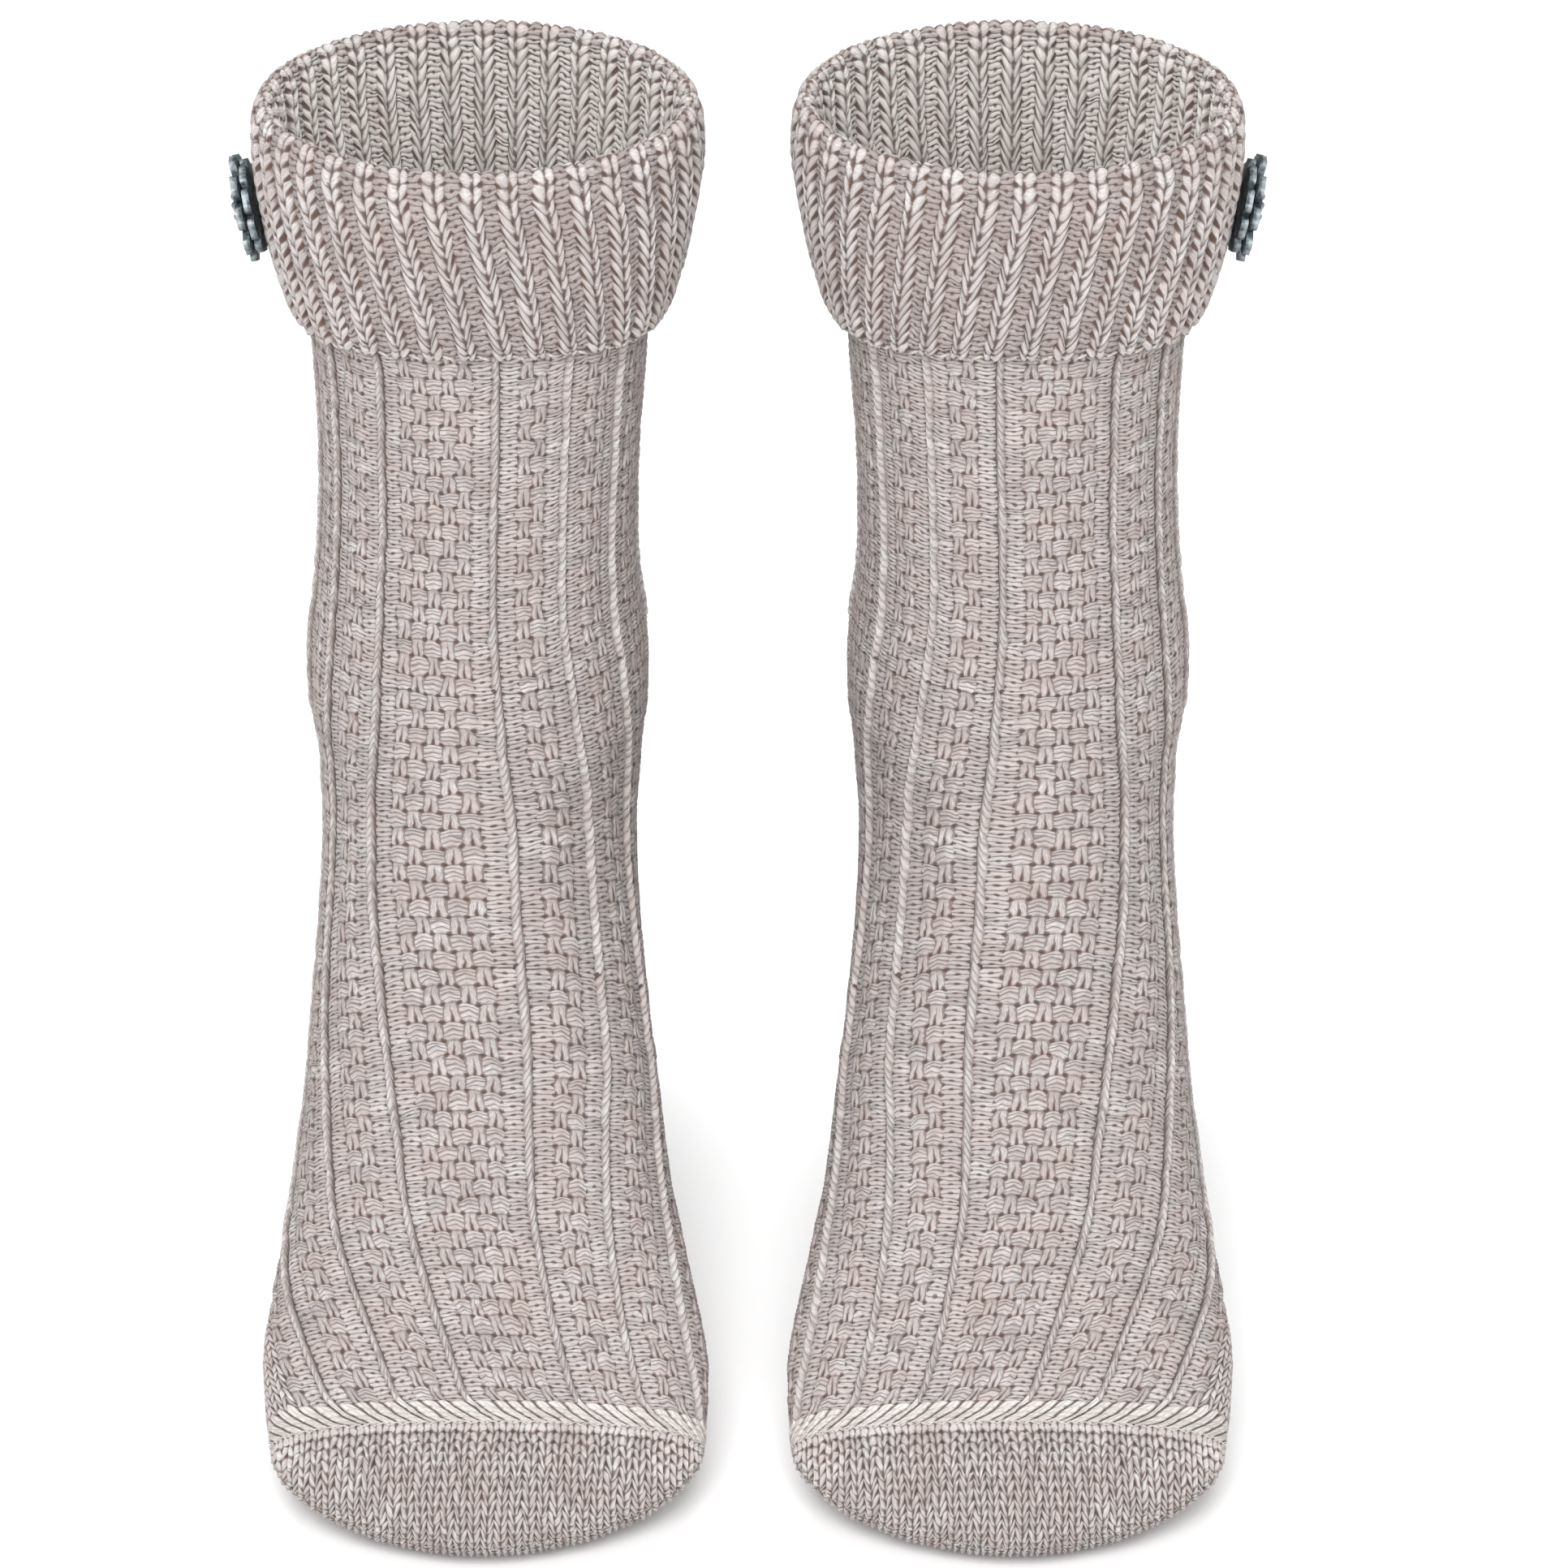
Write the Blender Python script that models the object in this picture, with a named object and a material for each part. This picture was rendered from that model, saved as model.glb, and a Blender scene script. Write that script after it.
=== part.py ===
"""A pair of thick knit socks with turned ribbed cuffs, filled out as if on two feet.

Each sock is a leg tube, a foot with its heel, a toe cap, a turned cuff and a metal flower on the
cuff's outer side. Sizes are in millimetres and become metres as each vertex is made. +Z is up, the
toes point towards -Y, and the origin is the centre of the right sock's leg opening. The right sock
stands on the -X side, and the left sock is its mirror image.
"""

import math
from collections import namedtuple

import bmesh
import bpy
from mathutils import Vector

MM = 0.001

# Driving sizes of one sock
LEG_HEIGHT = 143.0      # from the middle of the ankle up to the rim
TOE_DROP = 22.0         # degrees by which the relaxed foot points down
PAIR_SPACING = 121.0    # between the two leg openings
KNIT_WALL = 2.0         # thickness of the leg, foot and toe
CUFF_WALL = 2.1         # thickness of the turned layer between two ribs
SEAM = 0.35             # clear gap between two pieces
UNDER_CUFF = 0.65       # clear gap between the leg and the turned layer

# The knit: wales are the columns of stitches
WALES = 72
HALF = WALES // 2
RIDGE_HEIGHT = 0.9
RIDGE_WALES = (-31, -26, -18, -13, -8, 0, 5, 10, 18, 23, 28, 36)
INSTEP_FIRST, INSTEP_LAST = -20, 15

# The turned cuff
RIB_HEIGHT = 0.9
RIB_SLANT = 1.7         # wales by which a rib drifts between the rim and the hem
RIM_FOLD = 7.0          # depth of the fold above the leg's own top edge
HEM_DROP_FRONT = 44.5
HEM_DROP_SIDE = 50.5
HEM_THIN = 0.7          # by which the hem's edge is thinner than the cuff

# The metal flower
FLOWER_DROP = 27.0
FLOWER_TILT = 12.0      # degrees, as the cuff's side leans there
PETALS = 9
POINTS_PER_PETAL = 4

# One row for each section through the sock. A leg row gives forward and up from the ankle, a foot row
# gives along the foot and above the ankle in the foot's own tilted axes. Belly is where the section is
# widest, from its front to its back. Drift and spread say how the wales lie on it.
Section = namedtuple("Section", "name axes front_f front_n back_f back_n half_width side belly "
                                "front_power back_power drift spread")
SECTIONS = (
    Section("rim", "leg", 43.0, 136.0, -43.0, 136.0, 47.2, 0.0, 0.50, 2.0, 2.0, 1.3, 0.0),
    Section("upper cuff", "leg", 42.8, 126.0, -42.8, 126.0, 46.8, 0.0, 0.50, 2.0, 2.0, 1.3, 0.0),
    Section("mid cuff", "leg", 42.4, 112.0, -42.6, 112.0, 44.4, 0.0, 0.50, 2.0, 2.0, 1.3, 0.0),
    Section("low cuff", "leg", 41.4, 100.0, -42.4, 100.0, 41.6, 0.0, 0.50, 2.0, 2.0, 1.3, 0.0),
    Section("hem", "leg", 39.8, 90.0, -42.0, 90.0, 38.0, 0.0, 0.50, 2.1, 2.1, 1.3, 0.0),
    Section("upper leg", "leg", 38.6, 76.0, -42.0, 76.0, 36.8, -0.2, 0.50, 2.1, 2.1, 1.3, 0.0),
    Section("mid leg", "leg", 38.3, 52.0, -42.3, 52.0, 35.7, -0.8, 0.50, 2.1, 2.1, 1.3, 0.0),
    Section("low leg", "leg", 39.8, 31.0, -42.3, 26.0, 36.3, -1.6, 0.50, 2.1, 2.1, 1.4, 0.0),
    Section("ankle", "leg", 43.8, 15.0, -43.8, 0.0, 38.4, -1.7, 0.52, 2.1, 2.1, 1.6, 0.0),
    Section("heel top", "foot", 42.8, 17.0, -51.7, -30.0, 38.6, -1.6, 0.50, 2.1, 2.2, 1.7, 0.0),
    Section("heel mid", "foot", 48.8, 8.0, -49.7, -57.8, 37.0, -1.5, 0.50, 2.1, 2.3, 1.8, 0.05),
    Section("heel base", "foot", 54.8, 0.8, -25.0, -75.7, 35.9, -1.7, 0.52, 2.1, 2.4, 2.0, 0.15),
    Section("back arch", "foot", 64.0, -6.2, 12.0, -75.7, 36.6, -1.5, 0.55, 2.1, 2.5, 2.1, 0.26),
    Section("arch", "foot", 78.0, -14.2, 45.0, -74.8, 38.3, -1.0, 0.58, 2.1, 2.6, 2.4, 0.32),
    Section("instep", "foot", 96.0, -21.7, 74.0, -74.8, 40.2, -0.2, 0.60, 2.1, 2.7, 2.7, 0.32),
    Section("fore foot", "foot", 115.0, -27.7, 100.0, -75.7, 42.6, 0.0, 0.60, 2.1, 2.8, 3.0, 0.22),
    Section("ball", "foot", 136.0, -33.2, 127.0, -75.7, 46.2, 0.8, 0.58, 2.2, 2.8, 3.4, 0.12),
    Section("toe root", "foot", 158.0, -39.2, 152.0, -75.7, 49.4, 1.6, 0.55, 2.3, 2.8, 4.8, 0.0),
    Section("toe seam", "foot", 181.0, -47.2, 175.0, -75.7, 48.2, 2.4, 0.52, 2.4, 2.8, 7.1, 0.0),
)
NAMES = [row.name for row in SECTIONS]
TOE_TIP_F, TOE_TIP_N, TOE_TIP_SIDE = 204.7, -63.0, 1.4
TOE_WIDTH_POWER, TOE_DEPTH_POWER = 1.75, 2.2

# Numbers of rows along each piece
LEG_ROWS = 6
LEG_INSIDE_ROWS = 5
FOOT_ROWS = 20
FOOT_INSIDE_ROWS = 13
TOE_ROWS = 7
TOE_INSIDE_ROWS = 5
OUTLINE_STEPS = 180
BEND_WEIGHT = 30.0      # a bend of one radian takes as many rows as this length

# A shape is a section ready for use, in millimetres from the rim's centre
Shape = namedtuple("Shape", "front_y front_z back_y back_z half_width side belly front_power back_power "
                            "drift spread")

# Colour, roughness and metallic value of the pieces
KNIT_LOOK = ((0.50, 0.43, 0.39), 0.95, 0.0)
METAL_LOOK = ((0.22, 0.25, 0.27), 0.42, 1.0)


def clear_scene():
    """Remove the objects of the default scene."""
    for thing in list(bpy.data.objects):
        bpy.data.objects.remove(thing, do_unlink=True)


def make_material(name, look):
    """A Principled material of one colour."""
    colour, roughness, metallic = look
    material = bpy.data.materials.new(name)
    material.use_nodes = True
    shader = material.node_tree.nodes["Principled BSDF"]
    shader.inputs["Base Color"].default_value = (*colour, 1.0)
    shader.inputs["Roughness"].default_value = roughness
    shader.inputs["Metallic"].default_value = metallic
    return material


def from_axes(axes, forward, up):
    """World Y and Z of a point given in the leg's or the foot's own axes."""
    if axes == "foot":
        turn = math.radians(TOE_DROP)
        forward, up = (forward * math.cos(turn) + up * math.sin(turn),
                       up * math.cos(turn) - forward * math.sin(turn))
    return -forward, up - LEG_HEIGHT


def shape_of(row):
    """The Shape of one row of the section table."""
    front = from_axes(row.axes, row.front_f, row.front_n)
    back = from_axes(row.axes, row.back_f, row.back_n)
    return Shape(*front, *back, *row[6:])


SHAPES = [shape_of(row) for row in SECTIONS]


def station(name):
    """Place of a named section along the sock."""
    return float(NAMES.index(name))


def shape_at(place):
    """Shape at any place between two sections, on a smooth curve through all of them."""
    last = len(SHAPES) - 1
    first = min(int(place), last - 1)
    u = place - first
    p0, p1 = SHAPES[max(first - 1, 0)], SHAPES[first]
    p2, p3 = SHAPES[first + 1], SHAPES[min(first + 2, last)]
    return Shape(*(0.5 * (2 * b + (c - a) * u + (2 * a - 5 * b + 4 * c - d) * u ** 2
                          + (3 * b - a - 3 * c + d) * u ** 3)
                   for a, b, c, d in zip(p0, p1, p2, p3)))


def place_at_height(z):
    """Place of the level section of the upper leg that lies at height z."""
    low, high = 0.0, station("low leg")
    for _ in range(24):
        middle = (low + high) / 2
        if shape_at(middle).front_z > z:
            low = middle
        else:
            high = middle
    return low


def contour_travel(shapes, along_back):
    """Weighted distance along the front or back contour at each shape, longer where it bends."""
    travel, heading = [0.0], None
    for one, two in zip(shapes, shapes[1:]):
        if along_back:
            step_y, step_z = two.back_y - one.back_y, two.back_z - one.back_z
        else:
            step_y, step_z = two.front_y - one.front_y, two.front_z - one.front_z
        before, heading = heading, math.atan2(step_y, step_z)
        bend = 0.0 if before is None else math.remainder(heading - before, 2 * math.pi)
        travel.append(travel[-1] + math.hypot(step_y, step_z) + BEND_WEIGHT * abs(bend))
    return travel


def even_places(first, last, count):
    """Places from first to last, evenly spread over the weighted contours of the front and back."""
    samples = spaced(first, last, 240)
    shapes = [shape_at(place) for place in samples]
    contours = zip(contour_travel(shapes, False), contour_travel(shapes, True))
    travel = [front + back for front, back in contours]
    places = [first]
    for wanted in spaced(0.0, travel[-1], count)[1:-1]:
        after = next(i for i, distance in enumerate(travel) if distance >= wanted)
        part = (wanted - travel[after - 1]) / (travel[after] - travel[after - 1])
        places.append(samples[after - 1] + (samples[after] - samples[after - 1]) * part)
    return places + [last]


def dome_shape(share, wall=0.0):
    """Shape of the toe cap: share runs from 0 at the seam to 1 at the tip, wall is an inset."""
    seam = SHAPES[-1]
    tip_y, tip_z = from_axes("foot", TOE_TIP_F - wall, TOE_TIP_N)
    middle_y = seam.front_y + (seam.back_y - seam.front_y) * seam.belly
    middle_z = seam.front_z + (seam.back_z - seam.front_z) * seam.belly
    wide = (1 - share ** TOE_WIDTH_POWER) ** (1 / TOE_WIDTH_POWER)
    deep = (1 - share ** TOE_DEPTH_POWER) ** (1 / TOE_DEPTH_POWER)
    centre_y = middle_y + (tip_y - middle_y) * share
    centre_z = middle_z + (tip_z - middle_z) * share
    return seam._replace(
        front_y=centre_y + (seam.front_y - middle_y) * deep,
        front_z=centre_z + (seam.front_z - middle_z) * deep,
        back_y=centre_y + (seam.back_y - middle_y) * deep,
        back_z=centre_z + (seam.back_z - middle_z) * deep,
        half_width=seam.half_width * wide,
        side=seam.side + (TOE_TIP_SIDE - seam.side) * share, drift=0.0)


class Outline:
    """The closed outline of a shape, on which wales are placed by their distance round it."""

    def __init__(self, shape):
        self.shape = shape
        front = Vector((0.0, shape.front_y, shape.front_z))
        back = Vector((0.0, shape.back_y, shape.back_z))
        self.front = front
        self.depth = (back - front).length
        self.across = (back - front).normalized()
        self.points = [self.half_point(math.pi * i / OUTLINE_STEPS) for i in range(OUTLINE_STEPS + 1)]
        self.lengths = [0.0]
        for one, two in zip(self.points, self.points[1:]):
            self.lengths.append(self.lengths[-1] + math.dist(one, two))

    def half_point(self, angle):
        """Sideways and backward distance at an angle from 0 at the front to pi at the back."""
        shape = self.shape
        power = shape.front_power if math.cos(angle) >= 0 else shape.back_power
        sideways = shape.half_width * math.sin(angle) ** (2 / power)
        reach = abs(math.cos(angle)) ** (2 / power)
        share = shape.belly * (1 - reach)
        if math.cos(angle) < 0:
            share = shape.belly + (1 - shape.belly) * reach
        return sideways, self.depth * share

    def at(self, wale, out=0.0):
        """World point of a wale, moved out of the surface by out. Wale 0 drifts with the knit."""
        turn = (wale + self.shape.drift + HALF) % WALES - HALF
        share = abs(turn) / HALF
        share += self.shape.spread * math.sin(math.pi * share) / math.pi
        wanted = share * self.lengths[-1]
        low, high = 0, OUTLINE_STEPS
        while high - low > 1:
            middle = (low + high) // 2
            if self.lengths[middle] > wanted:
                high = middle
            else:
                low = middle
        one, two = self.points[low], self.points[high]
        part = (wanted - self.lengths[low]) / (self.lengths[high] - self.lengths[low])
        sideways = one[0] + (two[0] - one[0]) * part
        backward = one[1] + (two[1] - one[1]) * part
        step = math.dist(one, two)
        sideways += out * (two[1] - one[1]) / step
        backward -= out * (two[0] - one[0]) / step
        point = self.front + self.across * backward
        point.x = self.shape.side + math.copysign(sideways, turn)
        return point


def add_ring(mesh, points):
    """Vertices for a ring of points in millimetres."""
    return [mesh.verts.new(point * MM) for point in points]


def join_rings(mesh, one, two):
    """Faces between two rings of equal count, or of which one has twice as many points."""
    if len(one) < len(two):
        one, two = two, one
    count = len(two)
    for i in range(count):
        following = (i + 1) % count
        if len(one) > count:
            a, b, c = one[2 * i], one[2 * i + 1], one[(2 * i + 2) % len(one)]
            mesh.faces.new((a, b, two[i]))
            mesh.faces.new((b, two[following], two[i]))
            mesh.faces.new((b, c, two[following]))
        else:
            mesh.faces.new((one[i], one[following], two[following], two[i]))


def close_end(mesh, ring, point):
    """A fan from a ring to one point."""
    tip = mesh.verts.new(point * MM)
    for i, vertex in enumerate(ring):
        mesh.faces.new((vertex, ring[(i + 1) % len(ring)], tip))


def finish_object(mesh, name, material):
    """Turn a closed bmesh into a named object with outward faces."""
    bmesh.ops.recalc_face_normals(mesh, faces=mesh.faces)
    if mesh.calc_volume(signed=True) < 0:
        bmesh.ops.reverse_faces(mesh, faces=mesh.faces)
    data = bpy.data.meshes.new(name)
    mesh.to_mesh(data)
    mesh.free()
    data.materials.append(material)
    data.shade_smooth()
    data.set_sharp_from_angle(angle=math.radians(40))
    thing = bpy.data.objects.new(name, data)
    bpy.context.scene.collection.objects.link(thing)
    return thing


def spaced(first, last, count):
    """Evenly spaced places from first to last."""
    return [first + (last - first) * i / (count - 1) for i in range(count)]


def make_tube(name, outer, inner, material, tips=None):
    """A wall between outer and inner rings; tips close both skins of a cap at its far end."""
    mesh = bmesh.new()
    outer_rings = [add_ring(mesh, ring) for ring in outer]
    inner_rings = [add_ring(mesh, ring) for ring in inner]
    for rings in (outer_rings, inner_rings):
        for one, two in zip(rings, rings[1:]):
            join_rings(mesh, one, two)
    join_rings(mesh, outer_rings[0], inner_rings[0])
    if tips:
        close_end(mesh, outer_rings[-1], tips[0])
        close_end(mesh, inner_rings[-1], tips[1])
    else:
        join_rings(mesh, outer_rings[-1], inner_rings[-1])
    return finish_object(mesh, name, material)


def wale_stops(first, last, ridges):
    """Wales that carry a point: both flanks and the crest of each ridge, and one in each wide gap."""
    stops = set()
    for ridge in ridges:
        stops.update((ridge - 1, ridge, ridge + 1))
    ordered = sorted(stops)
    for one, two in zip(ordered, ordered[1:] + [ordered[0] + WALES]):
        if two - one > 2:
            stops.add((one + two) // 2)
    return sorted(wale for wale in stops if first <= wale <= last)


def hem_height(wale):
    """Height of the cuff's hem at a wale: it hangs lower at the sock's two sides."""
    across = math.cos(4 * math.pi * wale / WALES)
    return -(HEM_DROP_FRONT * (1 + across) + HEM_DROP_SIDE * (1 - across)) / 2


def upper_point(wale, share, out, drifting):
    """Point near the cuff: share is 0 at the fold and 1 at the hem, out is from the leg's surface."""
    z = round(-RIM_FOLD + (hem_height(wale) + RIM_FOLD) * share, 1)
    if (z, drifting) not in UPPER_OUTLINES:
        shape = shape_at(place_at_height(z))
        UPPER_OUTLINES[(z, drifting)] = Outline(shape if drifting else shape._replace(drift=0.0))
    return UPPER_OUTLINES[(z, drifting)].at(wale, out)


UPPER_OUTLINES = {}


def make_leg(name, material):
    """The leg tube, from its top edge under the cuff's fold down to the ankle."""
    ankle = station("ankle") - 0.012
    wales = wale_stops(-HALF + 1, HALF, RIDGE_WALES)
    raised = [RIDGE_HEIGHT * (wale in RIDGE_WALES) for wale in wales]
    rings = []
    for share in (0.0, 0.28, 0.56, 0.8, 1.02):
        rings.append([upper_point(wale, share, 0.0, True) for wale in wales])
    rings.append([upper_point(wale, 1.06, out, True) for wale, out in zip(wales, raised)])
    for place in even_places(station("upper leg"), ankle, LEG_ROWS):
        outline = Outline(shape_at(place))
        rings.append([outline.at(wale, out) for wale, out in zip(wales, raised)])
    inside = []
    for place in even_places(place_at_height(-RIM_FOLD), ankle, LEG_INSIDE_ROWS):
        outline = Outline(shape_at(place))
        inside.append([outline.at(wale, -KNIT_WALL) for wale in wales])
    return make_tube(name, rings, inside, material)


def make_foot(name, material):
    """The foot with its heel, from the ankle down to the toe seam."""
    first = station("ankle") + 0.012
    last = station("toe seam") - 0.008
    band = station("toe root") + 0.6
    ridges = [wale for wale in RIDGE_WALES if INSTEP_FIRST < wale < INSTEP_LAST]
    wales = wale_stops(INSTEP_FIRST + 1, INSTEP_LAST, ridges)
    wales += range(INSTEP_LAST - 1, INSTEP_FIRST + WALES, 2)
    rings = []
    for place in even_places(first, band, FOOT_ROWS - 1) + [last]:
        outline = Outline(shape_at(place))
        height = RIDGE_HEIGHT if place < band else 0.0
        rings.append([outline.at(wale, height * (wale in ridges)) for wale in wales])
    inside = []
    for place in even_places(first, last, FOOT_INSIDE_ROWS):
        outline = Outline(shape_at(place))
        inside.append([outline.at(wale, -KNIT_WALL) for wale in wales])
    return make_tube(name, rings, inside, material)


def dome_shares(start, count):
    """Shares of the toe cap's depth at which its rows lie, closer together towards the tip."""
    return [start + (1 - start) * math.sin(math.pi / 2 * i / count) for i in range(count)]


def dome_ring(share, wall):
    """Ring of the toe cap, inset by wall, with a point at every second wale."""
    outline = Outline(dome_shape(share, wall))
    return [outline.at(wale, -wall) for wale in range(-HALF + 2, HALF + 2, 2)]


def make_toe(name, material):
    """The toe cap, beyond the seam that runs across the toes."""
    start = 0.5 * SEAM / (TOE_TIP_F - SECTIONS[-1].front_f)
    rings = [dome_ring(share, 0.0) for share in dome_shares(start, TOE_ROWS)]
    inside = [dome_ring(share, KNIT_WALL) for share in dome_shares(start, TOE_INSIDE_ROWS)]
    tips = []
    for wall in (0.0, KNIT_WALL):
        tip_y, tip_z = from_axes("foot", TOE_TIP_F - wall, TOE_TIP_N)
        tips.append(Vector((TOE_TIP_SIDE, tip_y, tip_z)))
    return make_tube(name, rings, inside, material, tips)


def cuff_ring(count, share, out, rib=0.0, rise=0.0):
    """A ring of the cuff with count points; rib raises two of every four."""
    ring = []
    for i in range(count):
        wale = i * WALES / count - HALF + RIB_SLANT * (share - 0.5)
        raised = rib if i % 4 in (1, 2) else 0.0
        point = upper_point((wale + HALF) % WALES - HALF, share, out + raised, False)
        point.z += rise
        ring.append(point)
    return ring


def make_cuff(name, material):
    """The turned cuff: a ribbed outer layer, the rim's fold, and a lip that ends on the leg's edge."""
    fine, plain, coarse = 2 * WALES, WALES, HALF
    skin = UNDER_CUFF + CUFF_WALL
    fold_middle = (skin - KNIT_WALL) / 2
    fold_half = (skin + KNIT_WALL) / 2
    loops = [cuff_ring(fine, 1.0, skin - HEM_THIN, 0.2 * RIB_HEIGHT)]
    loops += [cuff_ring(fine, share, skin, RIB_HEIGHT) for share in (0.955, 0.62, 0.28)]
    loops.append(cuff_ring(fine, 0.0, skin, RIB_HEIGHT, 2.6))
    loops.append(cuff_ring(fine, 0.0, fold_middle + 0.72 * fold_half, 0.5 * RIB_HEIGHT, 5.9))
    loops.append(cuff_ring(plain, 0.0, fold_middle, 0.0, RIM_FOLD))
    loops.append(cuff_ring(plain, 0.0, fold_middle - 0.75 * fold_half, 0.0, 5.6))
    loops.append(cuff_ring(coarse, 0.0, -KNIT_WALL, 0.0, SEAM))
    loops.append(cuff_ring(coarse, 0.0, UNDER_CUFF, 0.0, SEAM))
    loops += [cuff_ring(coarse, share, UNDER_CUFF) for share in (0.28, 0.56, 0.8)]
    loops.append(cuff_ring(plain, 1.0, UNDER_CUFF))
    mesh = bmesh.new()
    rings = [add_ring(mesh, loop) for loop in loops]
    for one, two in zip(rings, rings[1:]):
        join_rings(mesh, one, two)
    join_rings(mesh, rings[0], rings[-1])
    return finish_object(mesh, name, material)


def petal_radius(turn, tip, notch, half_step):
    """Radius of a petalled outline at a share of a full turn."""
    phase = turn * PETALS + (0.5 if half_step else 0.0)
    wave = abs(math.cos(math.pi * phase))
    return notch + (tip - notch) * wave ** 0.7


def make_flower(name, material):
    """The metal flower: a boss, two layers of petals and a raised centre, as one turned body."""
    tilt = math.radians(FLOWER_TILT)
    outward = Vector((-math.cos(tilt), 0.0, -math.sin(tilt)))
    upward = Vector((-math.sin(tilt), 0.0, math.cos(tilt)))
    sideways = Vector((0.0, 1.0, 0.0))
    shape = shape_at(place_at_height(-FLOWER_DROP))
    crest = shape.half_width + UNDER_CUFF + CUFF_WALL + RIB_HEIGHT
    base = Vector((-crest, 0.0, -FLOWER_DROP)) + outward * SEAM
    # Each level has its height over the cuff, and the tips, notches and turn of its petals
    levels = (
        (0.0, 4.0, 4.0, False), (1.3, 4.0, 4.0, False),
        (1.5, 12.6, 8.6, False), (2.6, 12.3, 8.2, False),
        (2.9, 10.2, 6.8, True), (3.9, 9.9, 6.4, True),
        (4.3, 5.4, 4.6, False), (5.2, 5.2, 4.4, False), (6.2, 3.0, 3.0, False),
    )
    count = PETALS * POINTS_PER_PETAL
    mesh = bmesh.new()
    rings = []
    for height, tip, notch, half_step in levels:
        ring = []
        for i in range(count):
            turn = i / count
            radius = petal_radius(turn, tip, notch, half_step)
            angle = 2 * math.pi * turn
            ring.append(base + outward * height + upward * radius * math.cos(angle)
                        + sideways * radius * math.sin(angle))
        rings.append(add_ring(mesh, ring))
    for one, two in zip(rings, rings[1:]):
        join_rings(mesh, one, two)
    close_end(mesh, rings[0], base)
    close_end(mesh, rings[-1], base + outward * (levels[-1][0] + 0.4))
    return finish_object(mesh, name, material)


def mirror_copy(thing, name):
    """The left sock's piece: the right one's, mirrored in the plane halfway between the openings."""
    mesh = bmesh.new()
    mesh.from_mesh(thing.data)
    for vertex in mesh.verts:
        vertex.co.x = PAIR_SPACING * MM - vertex.co.x
    return finish_object(mesh, name, thing.data.materials[0].copy())


def main():
    """Build the right sock, then the left one from it."""
    clear_scene()
    makers = (
        ("leg", make_leg, KNIT_LOOK),
        ("foot", make_foot, KNIT_LOOK),
        ("toe", make_toe, KNIT_LOOK),
        ("cuff", make_cuff, KNIT_LOOK),
        ("flower", make_flower, METAL_LOOK),
    )
    for name, maker, look in makers:
        piece = maker("right_" + name, make_material("right_" + name, look))
        mirror_copy(piece, "left_" + name).data.materials[0].name = "left_" + name


main()
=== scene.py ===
"""Looks of a pair of thick knit socks with turned ribbed cuffs and a pewter flower on each cuff.

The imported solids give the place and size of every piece. This script builds the knit fabric itself
over the same form: each stitch has its own relief in the mesh and its own strands in the material.
Lengths are in millimetres until a vertex is made. The right sock is built first and the left sock is
its mirror image.
"""

import logging
import math
from collections.abc import Callable
from dataclasses import dataclass
from enum import Enum

import bmesh
import bpy
import numpy as np
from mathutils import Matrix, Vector

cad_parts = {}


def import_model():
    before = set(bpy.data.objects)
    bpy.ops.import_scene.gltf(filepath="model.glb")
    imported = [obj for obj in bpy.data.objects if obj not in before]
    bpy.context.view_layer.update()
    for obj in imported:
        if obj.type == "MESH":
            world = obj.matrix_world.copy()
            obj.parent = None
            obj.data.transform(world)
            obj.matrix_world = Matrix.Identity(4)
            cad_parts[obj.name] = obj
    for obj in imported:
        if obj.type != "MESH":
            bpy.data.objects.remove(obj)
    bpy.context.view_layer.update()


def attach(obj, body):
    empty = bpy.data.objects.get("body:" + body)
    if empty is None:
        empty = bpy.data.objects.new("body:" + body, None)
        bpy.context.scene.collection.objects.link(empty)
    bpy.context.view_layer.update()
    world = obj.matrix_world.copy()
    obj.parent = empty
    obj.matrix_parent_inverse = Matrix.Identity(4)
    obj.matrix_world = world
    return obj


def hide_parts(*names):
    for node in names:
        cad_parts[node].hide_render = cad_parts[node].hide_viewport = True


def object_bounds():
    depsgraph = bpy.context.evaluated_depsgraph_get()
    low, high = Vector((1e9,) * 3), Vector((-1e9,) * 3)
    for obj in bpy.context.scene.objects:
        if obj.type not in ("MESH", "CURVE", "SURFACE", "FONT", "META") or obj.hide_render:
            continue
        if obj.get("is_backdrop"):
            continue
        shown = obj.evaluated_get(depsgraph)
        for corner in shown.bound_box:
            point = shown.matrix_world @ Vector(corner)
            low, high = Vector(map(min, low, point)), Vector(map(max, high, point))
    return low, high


LOG = logging.getLogger("socks")
MM = 0.001
SEED = 11
SHARP_ANGLE = 75.0
MERGE_DISTANCE = 0.00002
SEAM_COLOUR = (0.47, 0.42, 0.39)

Colour = tuple[float, float, float]
Layer = bmesh.types.BMLayerItem
Loop = list[bmesh.types.BMVert]
Sample = Callable[[np.ndarray, np.ndarray, np.ndarray, np.ndarray], np.ndarray]


@dataclass(frozen=True)
class SockSizes:
    """Driving sizes of one sock.

    They are in millimetres, except that the drop of the toes is in degrees, and that the pinch and the
    slants are in wales. The tip of the toes is given forward and up in the foot's axes.
    """

    leg_height: float = 143.0
    toe_drop: float = 22.0
    pair_spacing: float = 121.0
    wall: float = 2.0
    cuff_wall: float = 2.1
    under_cuff: float = 0.65
    rim_fold: float = 7.0
    hem_front: float = 44.5
    hem_side: float = 50.5
    rib_slant: float = 1.7
    stitched_from: float = 39.5
    ribbed_to: float = 50.0
    lined_from: float = 50.6
    wales: int = 72
    ridge_pinch: float = 0.21
    tip_forward: float = 204.7
    tip_up: float = -63.0
    tip_side: float = 1.4
    toe_width_power: float = 1.75
    toe_depth_power: float = 2.2
    toe_slant: float = 2.2
    toe_depth: float = 29.1


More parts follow.
